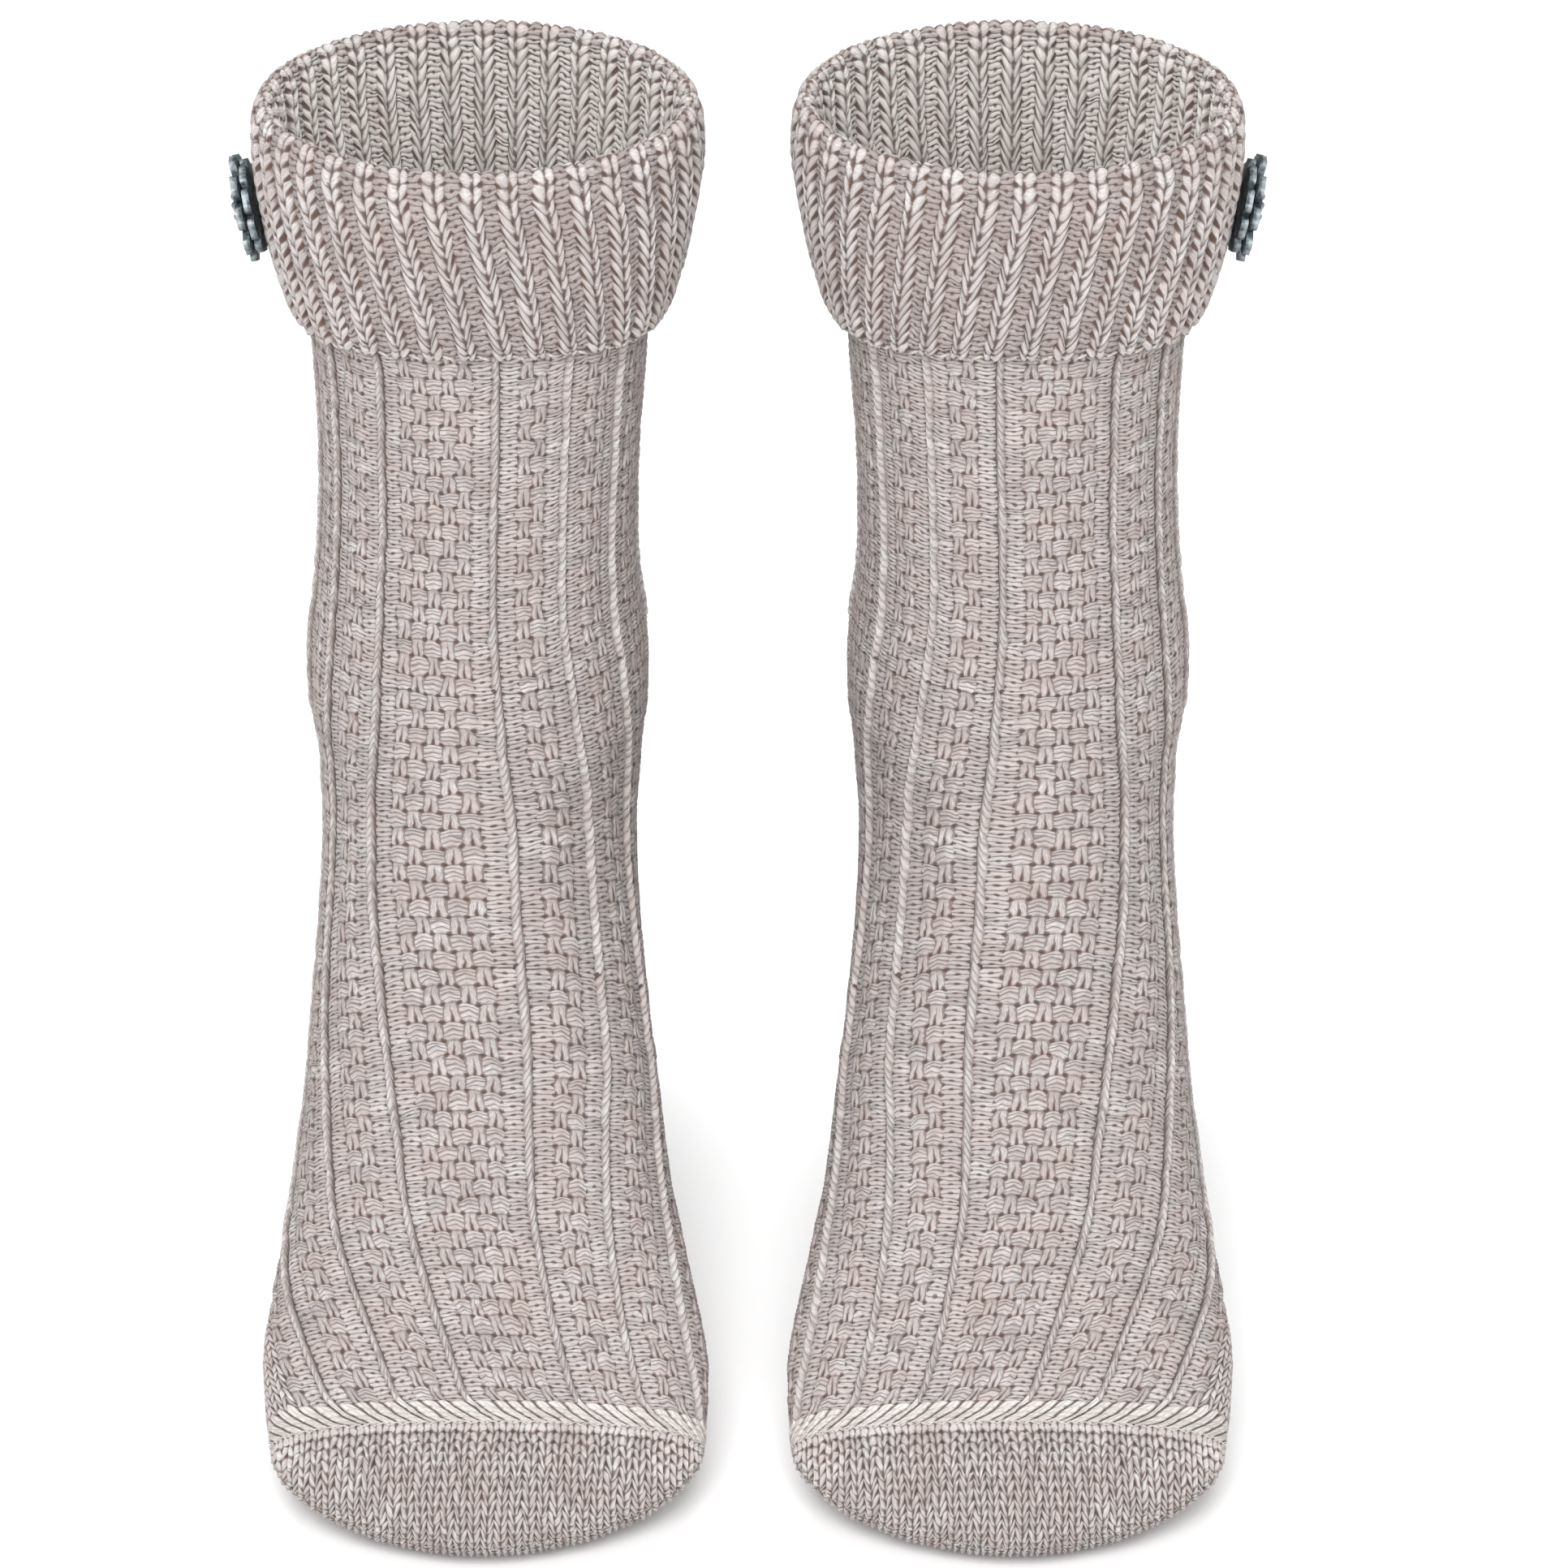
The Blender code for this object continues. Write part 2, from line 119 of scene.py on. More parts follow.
SIZES = SockSizes()
HALF = SIZES.wales // 2
RIDGES = (-31, -26, -18, -13, -8, 0, 5, 10, 18, 23, 28, 36)
INSTEP = (-20, 15)
ALL_ROUND = np.arange(-HALF, HALF + 1, 1.0)

# Axes of the row, front and back points, half width, side, belly, front and back power, drift, spread.
# A leg row is measured from the ankle, and a foot row in the axes of the tilted foot.
SECTIONS = (
    ("rim", "leg", 43.0, 136.0, -43.0, 136.0, 47.2, 0.0, 0.50, 2.0, 2.0, 1.3, 0.0),
    ("upper cuff", "leg", 42.8, 126.0, -42.8, 126.0, 46.8, 0.0, 0.50, 2.0, 2.0, 1.3, 0.0),
    ("mid cuff", "leg", 42.4, 112.0, -42.6, 112.0, 44.4, 0.0, 0.50, 2.0, 2.0, 1.3, 0.0),
    ("low cuff", "leg", 41.4, 100.0, -42.4, 100.0, 41.6, 0.0, 0.50, 2.0, 2.0, 1.3, 0.0),
    ("hem", "leg", 39.8, 90.0, -42.0, 90.0, 38.0, 0.0, 0.50, 2.1, 2.1, 1.3, 0.0),
    ("upper leg", "leg", 38.6, 76.0, -42.0, 76.0, 36.8, -0.2, 0.50, 2.1, 2.1, 1.3, 0.0),
    ("mid leg", "leg", 38.3, 52.0, -42.3, 52.0, 35.7, -0.8, 0.50, 2.1, 2.1, 1.3, 0.0),
    ("low leg", "leg", 39.8, 31.0, -42.3, 26.0, 36.3, -1.6, 0.50, 2.1, 2.1, 1.4, 0.0),
    ("ankle", "leg", 43.8, 15.0, -45.2, 5.0, 38.4, -1.7, 0.52, 2.1, 2.1, 1.6, 0.0),
    ("heel top", "foot", 42.8, 17.0, -47.8, -33.9, 38.6, -1.6, 0.50, 2.1, 2.2, 1.7, 0.0),
    ("heel mid", "foot", 48.8, 8.0, -49.7, -57.8, 37.0, -1.5, 0.50, 2.1, 2.3, 1.8, 0.05),
    ("heel base", "foot", 54.8, 0.8, -25.0, -75.7, 35.9, -1.7, 0.52, 2.1, 2.4, 2.0, 0.15),
    ("back arch", "foot", 64.0, -6.2, 12.0, -75.7, 36.6, -1.5, 0.55, 2.1, 2.5, 2.1, 0.26),
    ("arch", "foot", 78.0, -14.2, 45.0, -74.8, 38.3, -1.0, 0.58, 2.1, 2.6, 2.4, 0.32),
    ("instep", "foot", 96.0, -21.7, 74.0, -74.8, 40.2, -0.2, 0.60, 2.1, 2.7, 2.7, 0.32),
    ("fore foot", "foot", 115.0, -27.7, 100.0, -75.7, 42.6, 0.0, 0.60, 2.1, 2.8, 3.0, 0.22),
    ("ball", "foot", 136.0, -33.2, 127.0, -75.7, 46.2, 0.8, 0.58, 2.2, 2.8, 3.4, 0.12),
    ("toe root", "foot", 158.0, -39.2, 152.0, -75.7, 49.4, 1.6, 0.55, 2.3, 2.8, 4.8, 0.0),
    ("toe seam", "foot", 181.0, -47.2, 175.0, -75.7, 48.2, 2.4, 0.52, 2.4, 2.8, 7.1, 0.0),
)
NAMES = [row[0] for row in SECTIONS]
FRONT_Y, FRONT_Z, BACK_Y, BACK_Z, WIDE, SIDE, BELLY, POWER_F, POWER_B, DRIFT, SPREAD = range(11)


def from_axes(axes: str, forward: float, up: float) -> tuple[float, float]:
    """World Y and Z of a point given in the leg's or the foot's own axes.

    Args:
        axes: Either leg or foot.
        forward: Distance towards the toes.
        up: Height above the ankle.

    Returns:
        The two coordinates in millimetres from the rim's centre.
    """
    if axes == "foot":
        turn = math.radians(SIZES.toe_drop)
        forward, up = (forward * math.cos(turn) + up * math.sin(turn),
                       up * math.cos(turn) - forward * math.sin(turn))
    return -forward, up - SIZES.leg_height


SHAPES = np.array([(*from_axes(row[1], row[2], row[3]), *from_axes(row[1], row[4], row[5]), *row[6:])
                   for row in SECTIONS])


def shapes_at(places: np.ndarray) -> np.ndarray:
    """Shapes at places between the sections, on a smooth curve through all of them.

    Args:
        places: Places along the sock, where section number n lies at n.

    Returns:
        One row of shape values for each place.
    """
    last = len(SHAPES) - 1
    first = np.clip(places.astype(int), 0, last - 1)
    u = (places - first)[:, None]
    p0, p1 = SHAPES[np.maximum(first - 1, 0)], SHAPES[first]
    p2, p3 = SHAPES[first + 1], SHAPES[np.minimum(first + 2, last)]
    return 0.5 * (2 * p1 + (p2 - p0) * u + (2 * p0 - 5 * p1 + 4 * p2 - p3) * u ** 2
                  + (3 * p1 - p0 - 3 * p2 + p3) * u ** 3)


def leg_depths(count: int) -> tuple[np.ndarray, np.ndarray]:
    """Depths below the rim of the leg's level sections.

    Args:
        count: Number of places between the rim and the low leg.

    Returns:
        The depths and their places.
    """
    places = np.linspace(0.0, NAMES.index("low leg"), count)
    return -shapes_at(places)[:, FRONT_Z], places


def stretches(stops: tuple[float, ...], steps: tuple[int, ...]) -> tuple[np.ndarray, list[int]]:
    """Places along several stretches of the sock, one after the other.

    Args:
        stops: Places at which the stretches begin and end.
        steps: Number of steps in each stretch.

    Returns:
        The places, and the row of each stop.
    """
    parts = [np.linspace(one, two, count + 1) for one, two, count in zip(stops, stops[1:], steps)]
    places = np.concatenate([parts[0]] + [part[1:] for part in parts[1:]])
    return places, [sum(steps[:stop]) for stop in range(len(stops))]


def place_at_height(z: float) -> float:
    """Place of the level section of the leg that lies at a height.

    Args:
        z: Height in millimetres.

    Returns:
        The place along the sock.
    """
    return float(np.interp(-z, *leg_depths(1401)))


def ring_points(shape: np.ndarray, wales: np.ndarray, drifting: bool = True) -> np.ndarray:
    """Points of the outer skin at one section.

    Args:
        shape: The section's shape values.
        wales: Wales at which points are wanted.
        drifting: Whether the wales drift round the sock, as the knit of leg and foot does.

    Returns:
        One point for each wale.
    """
    angle = np.linspace(0.0, math.pi, 181)
    front = np.cos(angle) >= 0
    power = np.where(front, shape[POWER_F], shape[POWER_B])
    sideways = shape[WIDE] * np.maximum(np.sin(angle), 0) ** (2 / power)
    reach = np.abs(np.cos(angle)) ** (2 / power)
    belly = shape[BELLY]
    share = np.where(front, belly * (1 - reach), belly + (1 - belly) * reach)
    across = np.array((shape[BACK_Y] - shape[FRONT_Y], shape[BACK_Z] - shape[FRONT_Z]))
    backward = share * np.hypot(*across)
    lengths = np.concatenate(([0.0], np.cumsum(np.hypot(np.diff(sideways), np.diff(backward)))))
    turn = (wales + (shape[DRIFT] if drifting else 0.0) + HALF) % SIZES.wales - HALF
    part = np.abs(turn) / HALF
    part = part + shape[SPREAD] * np.sin(math.pi * part) / math.pi
    reached = np.interp(part * lengths[-1], lengths, share)
    x = shape[SIDE] + np.copysign(np.interp(part * lengths[-1], lengths, sideways), turn)
    return np.stack((x, shape[FRONT_Y] + across[0] * reached, shape[FRONT_Z] + across[1] * reached), axis=1)


def hem_height(wales: np.ndarray) -> np.ndarray:
    """Height of the cuff's hem, which hangs lower at the sock's two sides.

    Args:
        wales: Wales round the cuff.

    Returns:
        Heights in millimetres.
    """
    across = np.cos(4 * math.pi * wales / SIZES.wales)
    return -(SIZES.hem_front * (1 + across) + SIZES.hem_side * (1 - across)) / 2


class Stitch(Enum):
    """Kinds of stitch, as the material reads them."""

    PURL = 0
    KNIT = 1
    RIDGE = 2
    MOSS_KNIT = 3
    MOSS_PURL = 4
    RIB = 5
    LADDER = 6
    BAND = 7


@dataclass(frozen=True)
class Relief:
    """Heights of one kind of stitch over the fabric's own surface, in millimetres.

    The lean of the legs is in courses: it is how far the middle of a stitch lies from its edges.
    """

    crest: float
    middle: float
    edge: float
    groove: float
    lean: float
    bars: bool
    centre: float = 0.5


RELIEFS = {
    Stitch.PURL: Relief(0.12, 0.12, -0.24, 0.22, 0.12, True),
    Stitch.KNIT: Relief(0.50, -0.24, -0.32, 0.20, 1.35, False),
    Stitch.RIDGE: Relief(1.15, 0.45, -0.60, 0.18, 1.25, False, 0.78),
    Stitch.MOSS_KNIT: Relief(0.48, 0.10, 0.0, 0.10, 0.55, False),
    Stitch.MOSS_PURL: Relief(0.52, 0.52, 0.05, 0.22, 0.20, True),
    Stitch.RIB: Relief(1.30, 0.05, -0.45, 0.28, 1.60, False, 0.58),
    Stitch.LADDER: Relief(-0.26, -0.26, -0.55, 0.28, -0.22, True),
    Stitch.BAND: Relief(0.40, 0.36, -0.38, 0.04, 0.35, False),
}
STEPS_ACROSS = (0.0, 0.25, 0.5, 0.75)
STEPS = len(STEPS_ACROSS)
ROWS_PER_COURSE = 4
GORE_GROOVE = -0.2


@dataclass(frozen=True)
class Unevenness:
    """How far stitches stray, in millimetres, or in courses along the wale.

    The swelling is that of a raised moss stitch over the sunk ones next to it.
    """

    sideways: float = 0.26
    along: float = 0.13
    height: float = 0.13
    swelling: float = 0.22


UNEVEN = Unevenness()


class Columns:
    """The mesh columns of a strip of wales."""

    def __init__(self, first: float, widths: list[float], steps_across: list[tuple[float, ...]],
                 closed: bool) -> None:
        """Lay the columns out.

        Args:
            first: Wale at which the strip begins.
            widths: Width of each cell in wales.
            steps_across: Places of each cell's columns across it.
            closed: Whether the strip runs all round the sock.
        """
        self.closed = closed
        self.cells = len(widths)
        wales, cells, parts = [], [], []
        start = first
        for cell, (width, steps) in enumerate(zip(widths, steps_across)):
            for step in steps:
                wales.append(start + width * step)
                cells.append(cell)
                parts.append(step)
            start += width
        wales.append(start)
        cells.append(self.cells)
        parts.append(0.0)
        self.wales = np.array(wales)
        self.cell = np.array(cells)
        self.part = np.array(parts)
        self.u = self.cell + self.part


def even_columns(first_wale: int, count: int, closed: bool) -> Columns:
    """Columns of a plain strip, in which each wale is one cell.

    Args:
        first_wale: Wale of the first cell.
        count: Number of cells.
        closed: Whether the strip runs all round the sock.

    Returns:
        The columns.
    """
    return Columns(first_wale - 0.5, [1.0] * count, [STEPS_ACROSS] * count, closed)


def ridge_pinch(wales: np.ndarray) -> np.ndarray:
    """How far the fabric is drawn in towards the narrow ridges.

    Args:
        wales: Wales of the mesh columns.

    Returns:
        Shifts in wales.
    """
    pinch = np.zeros_like(wales)
    for ridge in RIDGES:
        off = (wales - ridge + HALF) % SIZES.wales - HALF
        near = np.minimum(np.abs(off) * 2, 1) * np.clip(1.5 - np.abs(off), 0, 1)
        pinch -= SIZES.ridge_pinch * np.sign(off) * near
    return pinch


class Fabric:
    """Relief and lean of every mesh point of a strip of stitches."""

    def __init__(self, kinds: np.ndarray, columns: Columns, rows_per_course: int,
                 random: np.random.Generator) -> None:
        """Work out the fabric.

        Args:
            kinds: Value of the stitch kind for each course and cell.
            columns: The mesh columns.
            rows_per_course: Number of mesh rows in a course.
            random: Source of the small unevenness of handwork.
        """
        self.kinds, self.columns = kinds, columns
        self.courses, self.cells = kinds.shape
        self.v = np.arange(self.courses * rows_per_course + 1) / rows_per_course
        self.height = self.blend(lambda kind, part, along, _: self.relief_of(kind, part, along))
        self.shift = self.blend(self.lean_of)
        self.jitter_u = self.soft_noise(random, UNEVEN.sideways)
        self.jitter_v = self.soft_noise(random, UNEVEN.along)
        self.height += self.soft_noise(random, UNEVEN.height)
        self.jitter_u += UNEVEN.swelling * self.bulge()

    def blend(self, sample: Sample) -> np.ndarray:
        """Average a property over the four stitches that meet at each mesh point.

        Args:
            sample: Function of kind values, place across, place along and course parity.

        Returns:
            The property at each row and column.
        """
        columns = self.columns
        whole, past = self.v.astype(int), self.v % 1
        total = np.zeros((len(self.v), len(columns.u)))
        for above in (0, 1):
            course = np.clip(np.where(past == 0, whole - above, whole), 0, self.courses - 1)
            along = np.where(past == 0, float(above), past)
            for left in (0, 1):
                on_edge = columns.part == 0
                cell = np.where(on_edge, columns.cell - left, columns.cell)
                cell = cell % self.cells if columns.closed else np.clip(cell, 0, self.cells - 1)
                part = np.where(on_edge, float(left), columns.part)
                kind = self.kinds[course[:, None], cell[None, :]]
                total += sample(kind, part[None, :], along[:, None], (course % 2)[:, None])
        return total / 4

    def bulge(self) -> np.ndarray:
        """How far the sides of a raised moss stitch swell over the sunk ones next to it.

        Returns:
            Sideways shifts, as shares of the largest one.
        """
        course = np.minimum(self.v.astype(int), self.courses - 1)
        raised = (self.kinds == Stitch.MOSS_PURL.value).astype(float) - (self.kinds == Stitch.MOSS_KNIT.value)
        edge = raised - np.roll(raised, -1, axis=1)
        if not self.columns.closed:
            edge[:, -1] = 0.0
        cell, part = self.columns.cell % self.cells, self.columns.part[None, :]
        right = edge[course][:, cell]
        left = np.roll(edge, 1, axis=1)[course][:, cell]
        across = left * np.clip(1 - 2 * part, 0, 1) + right * np.clip(2 * part - 1, 0, 1)
        return across / 2 * np.abs(np.sin(math.pi * self.v / 2))[:, None]

    @staticmethod
    def table(field: str) -> np.ndarray:
        """One field of every relief, in the order of the kinds' values.

        Args:
            field: Name of the field.

        Returns:
            The values.
        """
        return np.array([float(getattr(RELIEFS[kind], field)) for kind in Stitch])

    def away(self, kind: np.ndarray, part: np.ndarray) -> np.ndarray:
        """Distance from a stitch's middle, 0 there and 1 at its edges.

        Args:
            kind: Kind values.
            part: Places across the stitch.

        Returns:
            The distances.
        """
        centre = self.table("centre")[kind]
        return np.abs(part - centre) / np.where(part < centre, centre, 1 - centre)

    def relief_of(self, kind: np.ndarray, part: np.ndarray, along: np.ndarray) -> np.ndarray:
        """Height of a stitch at a point in it.

        Args:
            kind: Kind values.
            part: Places across the stitch.
            along: Places along the course.

        Returns:
            The heights.
        """
        away = self.away(kind, part)
        crest, middle, edge = (self.table(name)[kind] for name in ("crest", "middle", "edge"))
        groove, bars = self.table("groove")[kind], self.table("bars")[kind]
        near = np.sin(np.minimum(away * 2, 1.0) * math.pi / 2)
        far = np.sin(np.minimum((1 - away) * 2, 1.0) * math.pi / 2)
        legs = np.where(away < 0.5, middle + (crest - middle) * near, edge + (crest - edge) * far)
        bump = edge + (crest - edge) * (1 - away ** 2)
        one = (0.5 + 0.5 * np.cos(2 * math.pi * along)) ** 2
        two = 0.5 + 0.5 * np.cos(4 * math.pi * along)
        return np.where(bars > 0, bump - groove * two, legs - groove * one)

    def lean_of(self, kind: np.ndarray, part: np.ndarray, along: np.ndarray, parity: np.ndarray) -> np.ndarray:
        """How far a point of a stitch lies along its wale from the stitch's edges, in courses.

        Args:
            kind: Kind values.
            part: Places across the stitch.
            along: Places along the course.
            parity: Whether the course is the first or second of a moss pair.

        Returns:
            The shifts.
        """
        low = (kind == Stitch.PURL.value) | (kind == Stitch.LADDER.value)
        lean = self.table("lean")[kind] * np.where(low, 2 * part - 1, 1 - self.away(kind, part))
        moss = (kind == Stitch.MOSS_KNIT.value) | (kind == Stitch.MOSS_PURL.value)
        return np.where(moss, lean * np.sin(math.pi * (parity + along) / 2), lean)

    def soft_noise(self, random: np.random.Generator, size: float) -> np.ndarray:
        """Smooth unevenness with one value for each stitch.

        Args:
            random: Source of the values.
            size: Standard deviation.

        Returns:
            The values at each row and column.
        """
        coarse = random.normal(0.0, size, (self.courses + 1, self.cells + 1))
        if self.columns.closed:
            coarse[:, -1] = coarse[:, 0]
        rows = np.stack([np.interp(self.columns.u, np.arange(self.cells + 1), row) for row in coarse])
        return np.stack([np.interp(self.v, np.arange(self.courses + 1), column) for column in rows.T], axis=1)


class Lattice:
    """The fabric's own surface: points and normals on a close net, with the course at each of them."""

    def __init__(self, points: np.ndarray, knots: list[tuple[int, float]], flip: bool = False,
                 length: float = 0.0) -> None:
        """Make the lattice.

        Args:
            points: Points by travel and column.
            knots: Rows of the net at which the course number is known.
            flip: Whether the normals are turned round.
            length: Length of a course, where courses are counted off from the first row instead.
        """
        self.points = points
        normals = np.cross(np.gradient(points, axis=0), np.gradient(points, axis=1))
        normals /= np.maximum(np.linalg.norm(normals, axis=2, keepdims=True), 1e-9)
        self.normals = -normals if flip else normals
        steps = np.linalg.norm(np.diff(points, axis=0), axis=2)
        travel = np.concatenate((np.zeros((1, points.shape[1])), np.cumsum(steps, axis=0)))
        if length:
            self.course = travel / length
        else:
            rows, numbers = [row for row, _ in knots], [number for _, number in knots]
            self.course = np.stack([np.interp(column, column[rows], numbers) for column in travel.T], axis=1)

    def at(self, course: np.ndarray) -> tuple[np.ndarray, np.ndarray]:
        """Points and normals at course numbers.

        Args:
            course: Course number for each mesh row and column.

        Returns:
            Points and normals.
        """
        points = np.empty((*course.shape, 3))
        normals = np.empty_like(points)
        for k, axis in np.ndindex(course.shape[1], 3):
            points[:, k, axis] = np.interp(course[:, k], self.course[:, k], self.points[:, k, axis])
            normals[:, k, axis] = np.interp(course[:, k], self.course[:, k], self.normals[:, k, axis])
        normals /= np.maximum(np.linalg.norm(normals, axis=2, keepdims=True), 1e-9)
        return points, normals


def knit_surface(lattice: Lattice, fabric: Fabric, direction: float, offset: float = 0.0,
                 lean_scale: np.ndarray | None = None, height: np.ndarray | None = None) -> np.ndarray:
    """Mesh points of a strip of fabric with all its relief.

    Args:
        lattice: The surface that the fabric lies on.
        fabric: The stitches.
        direction: Sign of the lean of the stitches.
        offset: Course number of the fabric's first row.
        lean_scale: Factor on the lean for each row.
        height: Heights in place of the fabric's own.

    Returns:
        Points by row and column.
    """
    lean = fabric.shift * direction
    if lean_scale is not None:
        lean = lean * lean_scale[:, None]
    course = offset + fabric.v[:, None] + lean + fabric.jitter_v
    points, normals = lattice.at(course)
    side = np.gradient(points, axis=1)
    side /= np.maximum(np.linalg.norm(side, axis=2, keepdims=True), 1e-9)
    relief = fabric.height if height is None else height
    return points + normals * relief[:, :, None] + side * fabric.jitter_u[:, :, None]


def edge_loop(grid: list[Loop]) -> Loop:
    """Vertices round the four sides of a grid, from its first one."""
    return grid[0][:-1] + [row[-1] for row in grid[:-1]] + grid[-1][:0:-1] + [row[0] for row in grid[:0:-1]]


class Shell:
    """Collects the sheets of one closed piece of cloth."""

    def __init__(self, name: str) -> None:
        """Start an empty piece.

        Args:
            name: The piece's name.
        """
        self.name = name
        self.mesh = bmesh.new()
        self.uv = self.mesh.loops.layers.uv.new("stitch")
        self.kind = self.mesh.faces.layers.float.new("kind")
        self.middle = self.mesh.faces.layers.float.new("middle")

    def sheet(self, points: np.ndarray, u: np.ndarray, v: np.ndarray, kinds: np.ndarray | None,
              closed: bool, per_course: int = 1) -> list[Loop]:
        """Add a grid of quads.

        Args:
            points: Points by row and column, in millimetres.
            u: Stitch coordinate of each column.
            v: Stitch coordinate of each row.
            kinds: Kind values by course and cell, or None for plain knit.
            closed: Whether the last column is the first one again.
            per_course: Mesh rows in a course.

        Returns:
            The vertices by row and column.
        """
        rows, columns = points.shape[:2]
        made = bmesh.ops.create_grid(self.mesh, x_segments=columns - 1, y_segments=rows - 1, size=0.5)
        flat = (points.reshape(-1, 3) * MM).tolist()
        verts = [None] * len(flat)
        for vert in made["verts"]:
            column, row = round((vert.co.x + 0.5) * (columns - 1)), round((vert.co.y + 0.5) * (rows - 1))
            vert.index = row * columns + column
            verts[vert.index] = vert
        for vert, place in zip(verts, flat):
            vert.co = place
        u_list, v_list = u.tolist(), v.tolist()
        values = np.full((rows - 1, columns - 1), Stitch.KNIT.value)
        if kinds is not None:
            course = np.minimum(np.arange(rows - 1) // per_course, len(kinds) - 1)
            cell = np.floor((u[:-1] - (u[0] if not closed else 0.0)) + 1e-6).astype(int) % kinds.shape[1]
            values = kinds[course[:, None], cell[None, :]]
        values = values.tolist()
        for face in {face for vert in verts for face in vert.link_faces}:
            row, column = divmod(min(vert.index for vert in face.verts), columns)
            for loop in face.loops:
                r, c = divmod(loop.vert.index, columns)
                loop[self.uv].uv = (u_list[c], v_list[r])
            face[self.kind] = values[row][column]
            face[self.middle] = RELIEFS[Stitch(values[row][column])].centre
        grid = [verts[row * columns:(row + 1) * columns] for row in range(rows)]
        if closed:
            bmesh.ops.weld_verts(self.mesh, targetmap={row[-1]: row[0] for row in grid})
            grid = [row[:-1] for row in grid]
        return grid

    def zip_up(self, one: Loop, one_at: np.ndarray, two: Loop, two_at: np.ndarray, period: float) -> None:
        """Join two closed loops of vertices, of any counts, with triangles.

        Args:
            one: Vertices of the first loop.
            one_at: Rising places of those vertices.
            two: Vertices of the second loop.
            two_at: Rising places of those vertices.
            period: Place at which a loop is back at its start.
        """
        off = (two_at - one_at[0] + period / 2) % period - period / 2
        start = int(np.argmin(np.abs(off)))
        two = two[start:] + two[:start]
        two_at = np.concatenate((two_at[start:], two_at[:start] + period)) + one_at[0] + off[start] - two_at[start]
        i = j = 0
        while i < len(one) or j < len(two):
            next_one = one_at[(i + 1) % len(one)] + period * ((i + 1) // len(one))
            next_two = two_at[(j + 1) % len(two)] + period * ((j + 1) // len(two))
            a, b = one[i % len(one)], two[j % len(two)]
            if j >= len(two) or (i < len(one) and next_one <= next_two):
                corners = (a, one[(i + 1) % len(one)], b)
                i += 1
            else:
                corners = (a, two[(j + 1) % len(two)], b)
                j += 1
            if len(set(corners)) == 3:
                face = self.mesh.faces.new(corners)
                face[self.kind] = Stitch.KNIT.value
                face[self.middle] = RELIEFS[Stitch.KNIT].centre

    def finish(self, material: bpy.types.Material) -> bpy.types.Object:
        """Make the object.

        Args:
            material: The piece's material.

        Returns:
            The object.
        """
        bmesh.ops.recalc_face_normals(self.mesh, faces=self.mesh.faces)
        if self.mesh.calc_volume(signed=True) < 0:
            bmesh.ops.reverse_faces(self.mesh, faces=self.mesh.faces)
        return mesh_object(self.name, self.mesh, material)


def mesh_object(name: str, mesh: bmesh.types.BMesh, material: bpy.types.Material,
                sharp_degrees: float = SHARP_ANGLE) -> bpy.types.Object:
    """Turn a bmesh into an object in the scene.

    Args:
        name: The object's name.
        mesh: The bmesh, which is freed.
        material: Its material.
        sharp_degrees: Angle over which an edge is shown sharp.

    Returns:
        The object.
    """
    data = bpy.data.meshes.new(name)
    mesh.to_mesh(data)
    mesh.free()
    data.materials.append(material)
    data.shade_smooth()
    data.set_sharp_from_angle(angle=math.radians(sharp_degrees))
    thing = bpy.data.objects.new(name, data)
    bpy.context.scene.collection.objects.link(thing)
    return thing


def mirrored(thing: bpy.types.Object, name: str) -> bpy.types.Object:
    """The left sock's piece.

    Args:
        thing: The right sock's piece.
        name: Name of the new piece.

    Returns:
        The new object.
    """
    mesh = bmesh.new()
    mesh.from_mesh(thing.data)
    for vert in mesh.verts:
        vert.co.x = SIZES.pair_spacing * MM - vert.co.x
    bmesh.ops.reverse_faces(mesh, faces=mesh.faces)
    return mesh_object(name, mesh, thing.data.materials[0])


